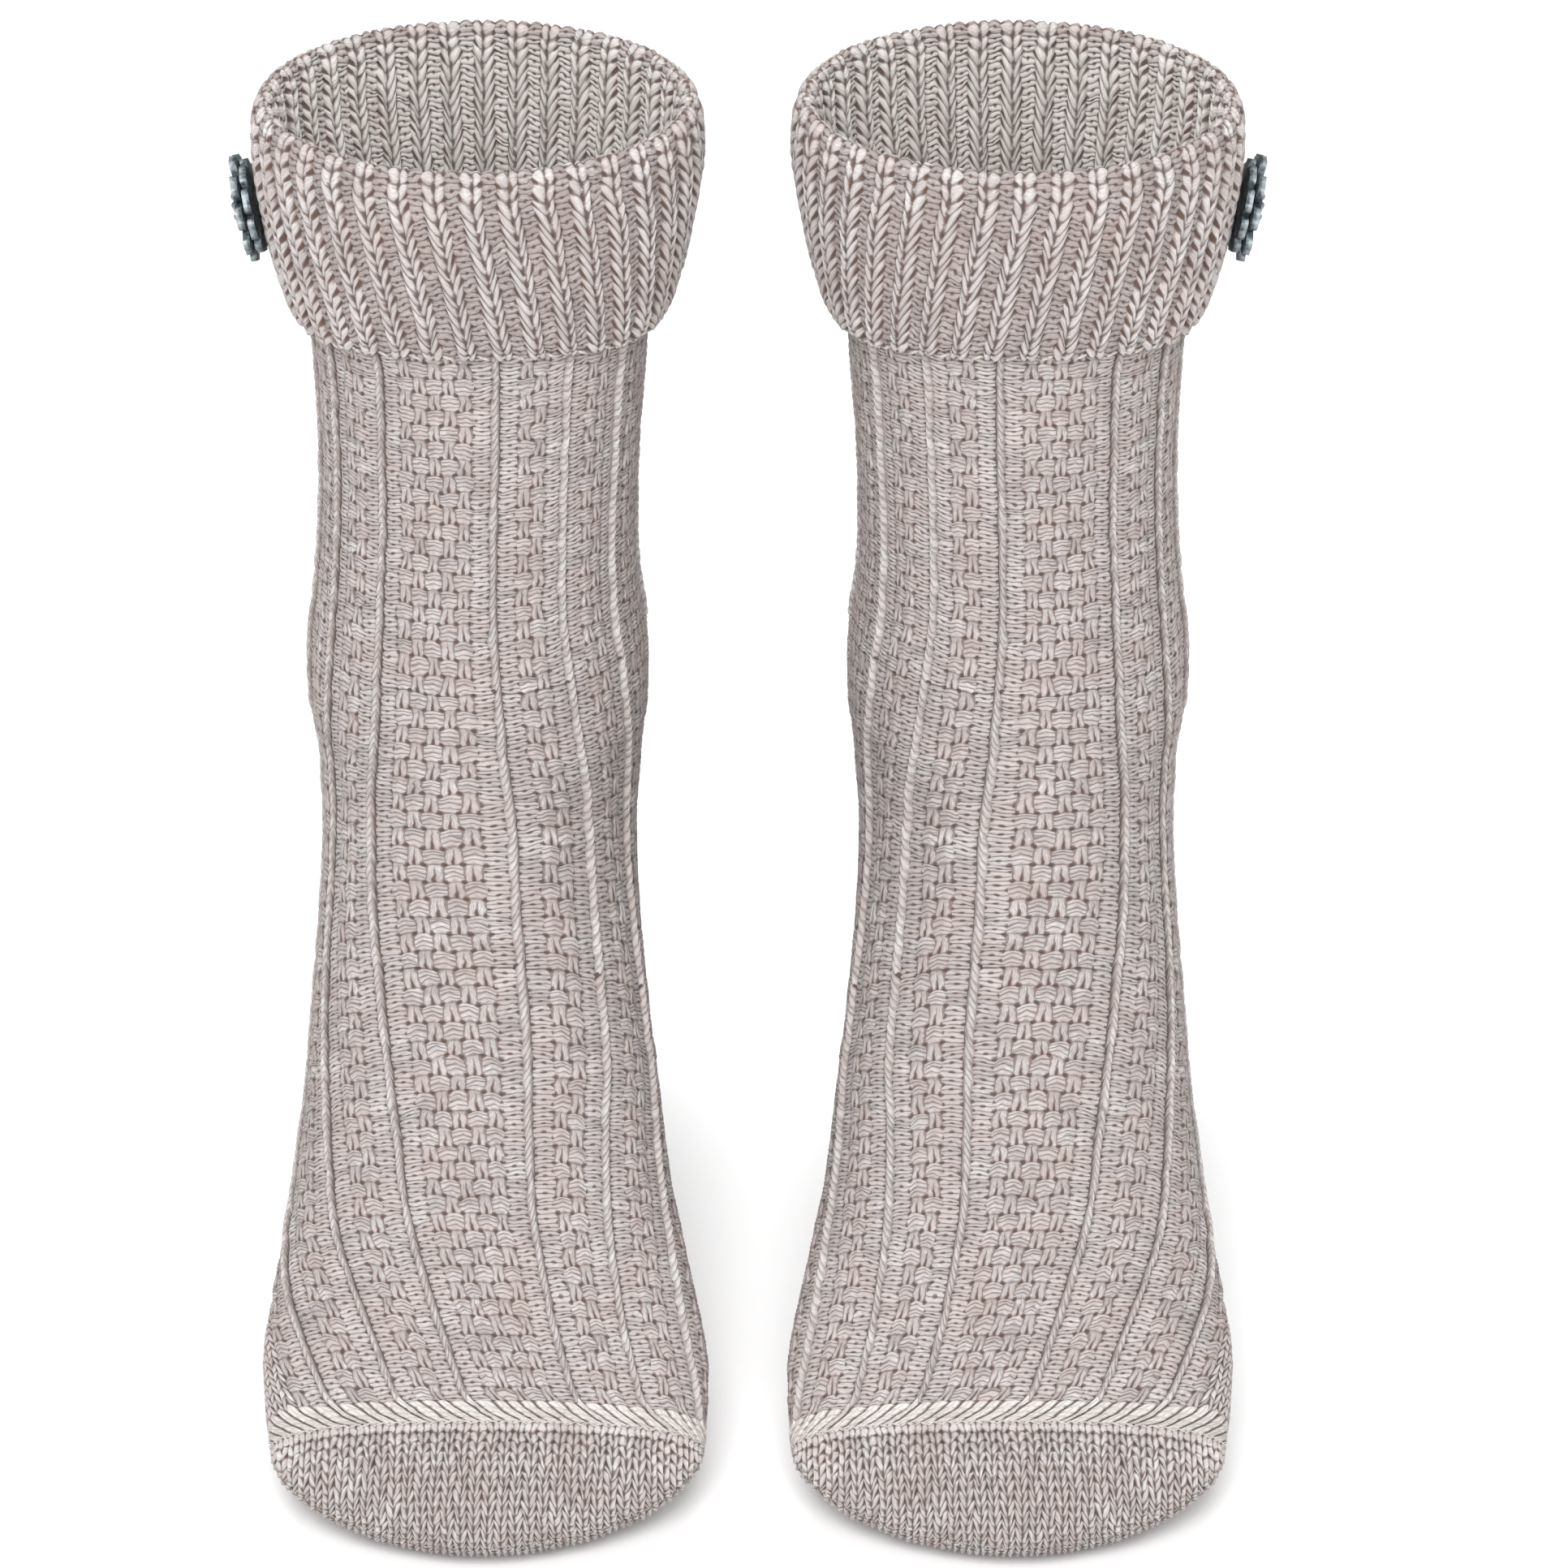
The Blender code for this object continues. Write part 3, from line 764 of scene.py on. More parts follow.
class Wire:
    """A value in a material's nodes, with arithmetic that adds Math nodes."""

    def __init__(self, tree: bpy.types.NodeTree, socket: bpy.types.NodeSocket) -> None:
        """Hold a socket.

        Args:
            tree: The node tree.
            socket: Output socket that carries the value.
        """
        self.tree, self.socket = tree, socket

    def math(self, operation: str, *others: "Wire | float") -> "Wire":
        """Add a Math node.

        Args:
            operation: The node's operation.
            others: Wires or numbers for its other inputs.

        Returns:
            The result.
        """
        node = self.tree.nodes.new("ShaderNodeMath")
        node.operation = operation
        for socket, value in zip(node.inputs, (self, *others)):
            if isinstance(value, Wire):
                self.tree.links.new(value.socket, socket)
            else:
                socket.default_value = value
        return Wire(self.tree, node.outputs[0])

    def __add__(self, other: "Wire | float") -> "Wire":
        """The sum."""
        return self.math("ADD", other)

    __radd__ = __add__

    def __sub__(self, other: "Wire | float") -> "Wire":
        """The difference."""
        return self.math("SUBTRACT", other)

    def __rsub__(self, other: "Wire | float") -> "Wire":
        """The difference from a number."""
        return self.math("MULTIPLY", -1.0).math("ADD", other)

    def __mul__(self, other: "Wire | float") -> "Wire":
        """The product."""
        return self.math("MULTIPLY", other)

    __rmul__ = __mul__

    def __truediv__(self, other: "Wire | float") -> "Wire":
        """The quotient."""
        return self.math("DIVIDE", other)

    def __pow__(self, other: "Wire | float") -> "Wire":
        """The power."""
        return self.math("POWER", other)

    def __abs__(self) -> "Wire":
        """The value without its sign."""
        return self.math("ABSOLUTE")

    def fraction(self) -> "Wire":
        """The part after the decimal point."""
        return self.math("FRACT")

    def floor(self) -> "Wire":
        """The whole number below."""
        return self.math("FLOOR")

    def hump(self) -> "Wire":
        """Sine of half a turn: 0 at 0 and 1, and 1 halfway."""
        return (self * math.pi).math("SINE").math("MAXIMUM", 0.0)

    def ramp(self, low: float, high: float) -> "Wire":
        """Smooth step from 0 to 1.

        Args:
            low: Value at which it leaves 0.
            high: Value at which it reaches 1.

        Returns:
            The step.
        """
        node = self.tree.nodes.new("ShaderNodeMapRange")
        node.interpolation_type = "SMOOTHSTEP"
        self.tree.links.new(self.socket, node.inputs["Value"])
        node.inputs["From Min"].default_value = low
        node.inputs["From Max"].default_value = high
        return Wire(self.tree, node.outputs[0])


def either(first: Wire, second: Wire, choice: Wire) -> Wire:
    """One of two values.

    Args:
        first: Value where the choice is 0.
        second: Value where the choice is 1.
        choice: 0 or 1.

    Returns:
        The chosen value.
    """
    return first * (1.0 - choice) + second * choice


@dataclass(frozen=True)
class YarnFinish:
    """Colours and surface of the yarn."""

    light: Colour = (0.556, 0.531, 0.519)
    body: Colour = (0.405, 0.370, 0.359)
    dark: Colour = (0.274, 0.242, 0.231)
    warm: Colour = (0.412, 0.340, 0.317)
    # Painted light: the paler colour given to the ribs inside the cuff.
    inside: Colour = (0.740, 0.690, 0.630)
    # Painted shade: the dark colour put into the gaps between strands and along strand edges.
    patina_and_painted_shade: Colour = (0.085, 0.050, 0.038)
    roughness: float = 0.92
    sheen: float = 0.08
    strand_bump: float = 0.40
    fibre_bump: float = 0.12


@dataclass(frozen=True)
class MetalFinish:
    """Colours and surface of the antique pewter."""

    # Dark patina of the pewter, in the small pits of its speckle.
    patina_and_painted_shade: Colour = (0.05, 0.063, 0.069)
    face: Colour = (0.13, 0.156, 0.168)
    rubbed: Colour = (0.28, 0.315, 0.325)
    roughness: float = 0.55


class Materials:
    """Makes the materials."""

    @staticmethod
    def start(name: str) -> tuple[bpy.types.Material, bpy.types.NodeTree, bpy.types.Node]:
        """A new node material.

        Args:
            name: Its name.

        Returns:
            The material, its tree and its Principled node.
        """
        material = bpy.data.materials.new(name)
        material.use_nodes = True
        tree = material.node_tree
        return material, tree, tree.nodes["Principled BSDF"]

    @staticmethod
    def speckle(tree: bpy.types.NodeTree, scale: float) -> Wire:
        """Noise in the object's own space.

        Args:
            tree: The node tree.
            scale: Scale of the noise.

        Returns:
            The noise, about 0.5 on average.
        """
        place = tree.nodes.new("ShaderNodeTexCoord")
        node = tree.nodes.new("ShaderNodeTexNoise")
        node.inputs["Scale"].default_value = scale
        node.inputs["Detail"].default_value = 3.0
        tree.links.new(place.outputs["Object"], node.inputs["Vector"])
        return Wire(tree, node.outputs[0])

    @staticmethod
    def bump(height: Wire, shader: bpy.types.Node, strength: float, distance: float) -> None:
        """Let a height tilt the surface.

        Args:
            height: The height.
            shader: The Principled node.
            strength: Strength of the bump.
            distance: Height of 1, in metres.
        """
        node = height.tree.nodes.new("ShaderNodeBump")
        node.inputs["Strength"].default_value = strength
        node.inputs["Distance"].default_value = distance
        height.tree.links.new(height.socket, node.inputs["Height"])
        height.tree.links.new(node.outputs[0], shader.inputs["Normal"])

    @staticmethod
    def noise(tree: bpy.types.NodeTree, x: Wire, y: Wire, detail: float) -> Wire:
        """Noise over two values.

        Args:
            tree: The node tree.
            x: First coordinate.
            y: Second coordinate.
            detail: Detail of the noise.

        Returns:
            The noise, about 0.5 on average.
        """
        joined = tree.nodes.new("ShaderNodeCombineXYZ")
        tree.links.new(x.socket, joined.inputs[0])
        tree.links.new(y.socket, joined.inputs[1])
        node = tree.nodes.new("ShaderNodeTexNoise")
        node.inputs["Scale"].default_value = 1.0
        node.inputs["Detail"].default_value = detail
        tree.links.new(joined.outputs[0], node.inputs["Vector"])
        return Wire(tree, node.outputs[0])

    @staticmethod
    def mix(factor: Wire, first: "Colour | bpy.types.NodeSocket",
            second: "Colour | bpy.types.NodeSocket") -> bpy.types.NodeSocket:
        """Mix two colours.

        Args:
            factor: 0 for the first colour and 1 for the second.
            first: A colour or a colour socket.
            second: A colour or a colour socket.

        Returns:
            The mixed colour's socket.
        """
        tree = factor.tree
        node = tree.nodes.new("ShaderNodeMix")
        node.data_type = "RGBA"
        tree.links.new(factor.socket, node.inputs[0])
        for socket, value in zip((node.inputs[6], node.inputs[7]), (first, second)):
            if isinstance(value, tuple):
                socket.default_value = (*value, 1.0)
            else:
                tree.links.new(value, socket)
        return node.outputs[2]

    @classmethod
    def yarn(cls, name: str, finish: YarnFinish) -> bpy.types.Material:
        """The knit's material: strands, fibres and painted shade in the hollows, with painted light on the ribs
        inside the cuff, laid out by stitch coordinates.

        Args:
            name: The material's name.
            finish: Its colours and surface.

        Returns:
            The material.
        """
        material, tree, shader = cls.start(name)
        uv = tree.nodes.new("ShaderNodeUVMap")
        uv.uv_map = "stitch"
        split = tree.nodes.new("ShaderNodeSeparateXYZ")
        tree.links.new(uv.outputs[0], split.inputs[0])
        u, v = Wire(tree, split.outputs[0]), Wire(tree, split.outputs[1])
        facts = []
        for layer in ("kind", "middle"):
            node = tree.nodes.new("ShaderNodeAttribute")
            node.attribute_name = layer
            facts.append(Wire(tree, node.outputs["Fac"]))
        kind, middle = facts

        def is_kind(stitch: Stitch) -> Wire:
            """1 where the stitch is of this kind, and 0 elsewhere."""
            return kind.math("COMPARE", float(stitch.value), 0.1)

        # Place in the stitch: f across it, g along it, and how far from its middle.
        wobble = (cls.noise(tree, u * 1.3, v * 1.3, 1.0) - 0.5) * 0.35
        sway = (cls.noise(tree, u * 0.9 + 30.0, v * 1.7, 1.0) - 0.5) * 0.3
        f = (u.fraction() + sway).math("MAXIMUM", 0.0).math("MINIMUM", 1.0)
        tilt = (cls.noise(tree, u.floor() * 3.17, v.floor() * 2.71, 0.0) - 0.5) * (f - 0.5)
        g = (v + wobble + tilt * 0.9).fraction()
        after = f.math("GREATER_THAN", middle)
        away = abs(f - middle) / either(middle, 1.0 - middle, after)

        # The legs of a plain stitch, each of them a few plies.
        ends = abs(away * 2.0 - 1.0)
        room = 1.0 - ends ** 3 * 0.35
        leg = (1.0 - (abs(g * 2.0 - 1.0) / room) ** 2.2).math("MAXIMUM", 0.0) * (1.0 - ends ** 3 * 0.8)
        ply = (g * 3.5 + away * 0.9).fraction().hump() ** 0.6
        leg = leg * (ply * 0.28 + 0.72)

        # The bars of a stitch seen from its back.
        low_bar = (g * 2.0).fraction().hump() ** 0.6
        wave = ((g * 2.0 + (away * math.pi).math("COSINE") * 0.12).fraction()).hump() ** 0.6
        wave = wave * (g.hump() ** 0.35)
        second = g.math("GREATER_THAN", 0.5)
        bar = wave * (either(1.0 - away * away, away, second) * 0.5 + 0.5)

        # The fan of strands of a sunk moss stitch, which takes two courses.
        pair = (v * 0.5).fraction()
        lean_out = abs(away - (pair * 0.40 + 0.22)) / 0.44
        fan = (1.0 - lean_out * lean_out).math("MAXIMUM", 0.0) * (pair.hump() ** 0.3)
        ray = (away / (pair + 0.45) * 3.2 + sway * 2.0).fraction().hump() ** 0.5
        fan = fan * (ray * 0.35 + 0.65)

        is_moss, is_high, is_ladder = map(is_kind, (Stitch.MOSS_KNIT, Stitch.MOSS_PURL, Stitch.LADDER))
        is_low = is_kind(Stitch.PURL) + is_ladder
        strand = either(either(either(leg, bar, is_high), low_bar, is_low), fan, is_moss)

        # Painted shade: the dark gaps between strands and stitches, where shade falls in the knit.
        side = f.math("MINIMUM", 1.0 - f) * 3.7
        end = pair.math("MINIMUM", 1.0 - pair) * 4.4
        corner = 1.0 - (side * side + end * end).ramp(0.05, 0.75)
        gap = g.math("MINIMUM", 1.0 - g) * 2.3
        stitch_corner = 1.0 - (side * side + gap * gap).ramp(0.04, 0.5)
        middle_dot = 1.0 - (((f - 0.5) * 3.6) ** 2.0 + ((g - 0.5) * 3.4) ** 2.0).ramp(0.04, 0.5)
        crotch = 1.0 - (away * away * 13.0 + gap * gap * 0.4).ramp(0.03, 0.75)
        slit = 1.0 - (away * away * 16.0 + (1.0 - pair) ** 2.0 * 7.0).ramp(0.05, 0.8)
        is_ridge, is_band = is_kind(Stitch.RIDGE), is_kind(Stitch.BAND)
        is_rope = is_ridge + is_band
        flank = 1.0 - ((1.0 - f) * 3.7).ramp(0.1, 0.95)
        between = 1.0 - side.ramp(0.0, 0.85)
        is_knit = 1.0 - is_moss - is_high - is_low - is_rope
        painted_gap_shade = (corner * (is_moss + is_high) + slit * is_moss + crotch * is_knit * 0.75) * 0.92
        painted_gap_shade = painted_gap_shade + (stitch_corner + middle_dot) * is_low * 0.8 + stitch_corner * is_knit * 0.9
        painted_gap_shade = painted_gap_shade + flank * is_ridge * 0.85 + between * is_band * 0.7
        painted_gap_shade = painted_gap_shade.math("MINIMUM", 0.9)

        # Fibres along the strands, and the melange's changes of tone.
        run = either(u * 1.6, v * 1.2, is_moss)
        pile = either(v * 7.0, away / (pair + 0.45) * 6.0, is_moss)
        fibre = cls.noise(tree, run, pile, 2.0)
        fine = cls.noise(tree, run * 2.3, pile * 3.1, 2.0)
        blotch = cls.noise(tree, u * 0.45, v * 0.35, 3.0)
        stitch_tone = cls.noise(tree, u.floor() * 7.31, v.floor() * 5.17, 0.0)

        height = strand * finish.strand_bump + (fibre - 0.5) * finish.fibre_bump + fine * (finish.fibre_bump * 0.6)
        cls.bump(height, shader, 1.0, 0.001)

        # Colours: the melange, a little lighter on knit and ridge stitches. The ribs inside the cuff get painted
        # light: they are made paler to lift the shade that falls inside the cuff.
        # Where the painted light inside the cuff goes: the ribs past the fold.
        lining = kind.math("GREATER_THAN", 4.5) * v.ramp(16.0, 19.0)
        melange = (fine * 0.4 + fibre * 0.25 + blotch * 0.2 + stitch_tone * 0.15 + lining * 0.22
                   + is_ridge * 0.05 + is_kind(Stitch.KNIT) * 0.03 + is_knit * 0.035 - 0.012)
        colour = cls.mix(melange.ramp(0.38, 0.52), finish.dark, finish.body)
        colour = cls.mix(melange.ramp(0.48, 0.62), colour, finish.light)
        warm = cls.noise(tree, u * 0.31 + 40.0, v * 0.23, 2.0)
        colour = cls.mix(warm.ramp(0.4, 0.62) * 0.45, colour, finish.warm)
        colour = cls.mix(lining * 0.36, colour, finish.inside)
        # Painted shade across each strand, darkest at its edges so that it looks round, and a painted darkening of
        # the sunk ladder columns; the colour is mixed towards the dark shade colour by it.
        painted_shade_floor = (is_moss + is_high) * 0.10 + is_rope * 0.33 + 0.22 + lining * 0.2 - is_ladder * 0.14
        painted_strand_shade = (strand + (fine - 0.5) * 0.4).ramp(-0.10, 0.66) * (1.0 - painted_shade_floor) + painted_shade_floor
        shade = painted_strand_shade * (1.0 - painted_gap_shade) * (1.0 - is_ladder * (1.0 - lining * 0.6) * 0.32)
        colour = cls.mix(shade, finish.patina_and_painted_shade, colour)
        tree.links.new(colour, shader.inputs["Base Color"])
        shader.inputs["Roughness"].default_value = finish.roughness
        shader.inputs["Sheen Weight"].default_value = finish.sheen
        shader.inputs["Sheen Roughness"].default_value = 0.6
        shader.inputs["Specular IOR Level"].default_value = 0.15
        return material

    @classmethod
    def seam(cls, name: str, colour: Colour) -> bpy.types.Material:
        """The sewing yarn of the toe seam.

        Args:
            name: The material's name.
            colour: Its colour.

        Returns:
            The material.
        """
        material, tree, shader = cls.start(name)
        fibre = cls.speckle(tree, 1400.0)
        shade = tuple(channel * 0.62 for channel in colour)
        tree.links.new(cls.mix(fibre.ramp(0.36, 0.56), shade, colour), shader.inputs["Base Color"])
        cls.bump(fibre, shader, 1.0, 0.0003)
        shader.inputs["Roughness"].default_value = 0.9
        shader.inputs["Sheen Weight"].default_value = 0.2
        return material

    @classmethod
    def metal(cls, name: str, finish: MetalFinish) -> bpy.types.Material:
        """The flower's pewter: dark in its hollows and rubbed bright on its edges.

        Args:
            name: The material's name.
            finish: Its colours and surface.

        Returns:
            The material.
        """
        material, tree, shader = cls.start(name)
        attribute = tree.nodes.new("ShaderNodeAttribute")
        attribute.attribute_name = "rubbed"
        rubbed = Wire(tree, attribute.outputs["Fac"])
        speckle = cls.speckle(tree, 900.0)
        colour = cls.mix(speckle.ramp(0.35, 0.62), finish.patina_and_painted_shade, finish.face)
        colour = cls.mix((rubbed + (speckle - 0.5) * 0.5).ramp(0.45, 0.8), colour, finish.rubbed)
        tree.links.new(colour, shader.inputs["Base Color"])
        shader.inputs["Metallic"].default_value = 1.0
        shader.inputs["Roughness"].default_value = finish.roughness
        cls.bump(speckle, shader, 0.5, 0.0002)
        return material


@dataclass(frozen=True)
class Gauge:
    """Numbers of courses along each stretch of the sock, and mesh rows in a course of the cuff.

    Towards a seam the stitches' lean fades over a few courses, and their height over the last one.
    """

    leg: int = 44
    instep: int = 32
    foot: int = 54
    heel: int = 64
    band: int = 4
    toe_course: float = 2.25
    cuff: int = 16
    fold: int = 3
    inside: int = 15
    cuff_rows: int = 5
    lean_fade: float = 4.0
    height_fade: float = 0.8


@dataclass(frozen=True)
class StrandSizes:
    """Half length and half thickness of short strands, and their distance out of the line, in millimetres.

    The swings are the angles in radians by which every other strand is turned.
    """

    long: float
    thick: float
    out: float
    swings: tuple[float, float]


class Sock:
    """Builds the knitted pieces of the right sock."""

    def __init__(self, gauge: Gauge, yarn: bpy.types.Material, seam_yarn: bpy.types.Material) -> None:
        """Work out the fabric of the body, and then that of the ribs.

        Args:
            gauge: Numbers of courses.
            yarn: The knit's material.
            seam_yarn: Material of the toe seam.
        """
        self.gauge, self.yarn, self.seam_yarn = gauge, yarn, seam_yarn
        self.random = np.random.default_rng(SEED)
        self.top = place_at_height(-SIZES.stitched_from)
        self.columns = even_columns(-HALF + 1, SIZES.wales, True)
        self.ankle, self.arch, self.seam = map(NAMES.index, ("ankle", "arch", "toe seam"))
        self.stops = (0, gauge.leg, gauge.leg + gauge.instep, gauge.leg + gauge.instep + gauge.foot)
        self.lattice = self.body_lattice()
        self.kinds = self.pattern(self.stops[3])
        self.fabric = Fabric(self.kinds, self.columns, ROWS_PER_COURSE, self.random)
        self.body = self.body_points()
        self.rib_fabric()

    def body_lattice(self) -> Lattice:
        """The surface of leg, instep and foot, on which the wales turn a little before the toe seam.

        Returns:
            The lattice.
        """
        places, rows = stretches((self.top, self.ankle, self.arch, self.seam), (159, 149, 149))
        slant = SIZES.toe_slant * np.clip((places - self.seam + 0.38) / 0.38, 0, 1) ** 1.5
        wales = self.columns.wales + ridge_pinch(self.columns.wales)
        net = np.stack([ring_points(shape, wales + more) for shape, more in zip(shapes_at(places), slant)])
        return Lattice(net, list(zip(rows, self.stops)))

    def body_points(self) -> np.ndarray:
        """Mesh points of leg, instep and foot, flatter at the gores and under the cuff.

        Returns:
            Points by row and column.
        """
        v, left = self.fabric.v, self.stops[3] - self.fabric.v
        fade = np.clip(left / self.gauge.lean_fade, 0, 1) * np.clip(v / 2.6, 0, 1)
        height = self.fabric.height * np.clip(left / self.gauge.height_fade, 0.2, 1)[:, None]
        inside = np.clip(np.minimum(v - self.stops[1], self.stops[2] - v), 0, 1)
        for column in self.gore_columns():
            height[:, column] += (GORE_GROOVE - height[:, column]) * inside
            self.fabric.jitter_u[:, column] *= 1 - inside
        level, _ = self.lattice.at(np.repeat(v[:, None], len(self.columns.u), axis=1))
        below = hem_height(self.columns.wales)[None, :] - level[:, :, 2]
        height = np.minimum(height, 0.45 + np.clip(below / 1.5, 0, 1))
        return knit_surface(self.lattice, self.fabric, -1.0, lean_scale=fade, height=height)

    @staticmethod
    def gore_columns() -> tuple[int, int]:
        """Mesh columns at which the instep meets the heel."""
        return (INSTEP[0] + HALF - 1) * STEPS, (INSTEP[1] + HALF) * STEPS

    def pattern(self, courses: int) -> np.ndarray:
        """Kinds of stitch of the leg and foot.

        Args:
            courses: Number of courses.

        Returns:
            Kind values by course and wale.
        """
        kinds = np.full((courses, SIZES.wales), Stitch.KNIT.value)
        kinds[-self.gauge.band:] = Stitch.BAND.value
        for cell in range(SIZES.wales):
            wale = cell - HALF + 1
            on_instep = INSTEP[0] <= wale <= INSTEP[1]
            last = courses - self.gauge.band if on_instep else self.stops[1]
            if wale in RIDGES:
                kinds[:last, cell] = Stitch.RIDGE.value
            elif {wale - 1, wale + 1, wale - 1 + SIZES.wales} & set(RIDGES):
                kinds[:last, cell] = Stitch.PURL.value
            else:
                knit = (np.arange(last) // 2 + wale) % 2 == 0
                kinds[:last, cell] = np.where(knit, Stitch.MOSS_KNIT.value, Stitch.MOSS_PURL.value)
        return kinds

    def inner_rings(self, places: np.ndarray, wales: np.ndarray) -> np.ndarray:
        """Rings of the inner skin.

        Args:
            places: Places along the sock.
            wales: Wales of the points.

        Returns:
            Points by place and wale.
        """
        dense = np.linspace(places[0], places[-1], 4 * len(places) - 3)
        net = np.stack([ring_points(shape, wales) for shape in shapes_at(dense)])
        lattice = Lattice(net, [(0, 0), (len(dense) - 1, 1)])
        return (net - lattice.normals * SIZES.wall)[::4]

    def rib_lattice(self) -> tuple[Lattice, Columns]:
        """The cuff's fabric: up the turned layer, over the fold and down the inside.

        Returns:
            The lattice and its columns.
        """
        knit = (0.0, 0.17, 0.38, 0.55, 0.70, 0.86)
        rib, ladder = 1.20, 0.80
        columns = Columns(-HALF + 0.75 - rib / 2, [rib, ladder] * HALF, [knit, STEPS_ACROSS] * HALF, True)
        skin, fold = SIZES.under_cuff + SIZES.cuff_wall, SIZES.rim_fold
        middle, half = (skin - SIZES.wall) / 2, (skin + SIZES.wall) / 2
        turned, over, down = 60, 40, 40
        rows = [(share, skin - 0.5 * max(0.0, share - 0.93) / 0.07, 0.0, fold)
                for share in np.linspace(1.0, 0.0, turned + 1)]
        rows += [(0.0, middle + half * math.cos(angle), fold * math.sin(angle) ** 0.9, fold)
                 for angle in np.linspace(0, math.pi, over + 1)[1:]]
        rows += [(0.0, -SIZES.wall, 0.0, depth) for depth in np.linspace(fold, SIZES.ribbed_to, down + 1)[1:]]
        net = []
        for share, out, rise, depth in rows:
            wales = columns.wales + SIZES.rib_slant * (share - 0.5)
            level = (hem_height(wales) + fold) * share - depth
            net.append(self.at_levels(level, wales, out, rise))
        numbers = np.cumsum((0, self.gauge.cuff, self.gauge.fold, self.gauge.inside))
        knots = list(zip((0, turned + over // 2, turned + over, turned + over + down), numbers))
        return Lattice(np.stack(net), knots, flip=True), columns

    @staticmethod
    def at_levels(level: np.ndarray, wales: np.ndarray, out: float, rise: float = 0.0) -> np.ndarray:
        """Points near the leg's upper part, each at its own height.

        Args:
            level: Height of each point.
            wales: Wale of each point, which doesn't drift.
            out: Distance out of the leg's surface.
            rise: Height added at the end.

        Returns:
            The points.
        """
        shapes = shapes_at(np.interp(-level, *leg_depths(701)))
        mean = shapes.mean(axis=0)
        ring = ring_points(mean, wales, drifting=False)
        centre_x, centre_y = mean[SIDE], (mean[FRONT_Y] + mean[BACK_Y]) / 2
        wide, deep = shapes[:, WIDE], shapes[:, BACK_Y] - shapes[:, FRONT_Y]
        points = np.empty((len(wales), 3))
        points[:, 0] = centre_x + (ring[:, 0] - centre_x) * (wide / mean[WIDE])
        points[:, 1] = centre_y + (ring[:, 1] - centre_y) * (deep / (mean[BACK_Y] - mean[FRONT_Y]))
        normal = np.stack(((points[:, 0] - centre_x) / wide ** 2,
                           (points[:, 1] - centre_y) / (deep / 2) ** 2), axis=1)
        normal /= np.linalg.norm(normal, axis=1, keepdims=True)
        points[:, :2] += normal * out
        points[:, 2] = level + rise
        return points

    def rib_fabric(self) -> None:
        """Work out the cuff's fabric once, for the cuff and for the leg's inside."""
        gauge = self.gauge
        lattice, columns = self.rib_lattice()
        self.turned = gauge.cuff + gauge.fold
        self.rib_columns = columns
        self.rib_kinds = np.tile([Stitch.RIB.value, Stitch.LADDER.value], (self.turned + gauge.inside, HALF))
        fabric = Fabric(self.rib_kinds, columns, gauge.cuff_rows, self.random)
        self.rib_v = v = fabric.v
        is_rib, across = columns.cell % 2 == 0, columns.part
        bulge = np.exp(-((v - gauge.cuff) / 1.9) ** 2)[:, None]
        swell = np.where(is_rib & (across > 0), -0.6, 0.3 + 0.5 * np.sin(math.pi * across) * (across > 0))
        depth = 1.0 - 0.75 * np.clip((v - self.turned - 11) / 4, 0, 1)[:, None]
        height = fabric.height * depth + bulge * swell[None, :]
        sign = np.clip((v - gauge.cuff) / gauge.lean_fade, -1, 1)
        sign *= np.clip(v / 2.4, 0, 1) * np.clip((v[-1] - v) / 2.4, 0, 1)
        self.rib_points = knit_surface(lattice, fabric, 1.0, lean_scale=sign, height=height)
        lobe = np.where(is_rib, 0.6, 0.15) * np.sin(math.pi * across)
        self.rib_points[:, :, 2] -= np.exp(-v / 0.8)[:, None] * lobe[None, :]

    def cuff(self) -> bpy.types.Object:
        """The turned cuff with its fold.

        Returns:
            The object.
        """
        per = self.gauge.cuff_rows
        rows = slice(0, self.turned * per + 1)
        shell = Shell("right_cuff_knit")
        outer = shell.sheet(self.rib_points[rows], self.rib_columns.u, self.rib_v[rows], self.rib_kinds, True, per)
        hidden = []
        for share in (1.0, 0.8, 0.56, 0.28, 0.0):
            level = -SIZES.rim_fold + (hem_height(ALL_ROUND) + SIZES.rim_fold) * share
            ring = self.at_levels(level, ALL_ROUND, SIZES.under_cuff)
            ring[:, 2] += 0.3 if share == 0 else 0.0
            hidden.append(ring)
        inner = shell.sheet(np.stack(hidden), ALL_ROUND + HALF, np.arange(5.0), None, True)
        at = self.rib_columns.wales[:-1] + HALF
        for end, slant in ((0, SIZES.rib_slant * 0.5), (-1, -SIZES.rib_slant * 0.5)):
            shell.zip_up(outer[end], at + slant, inner[end], ALL_ROUND[:-1] + HALF, SIZES.wales)
        return shell.finish(self.yarn)

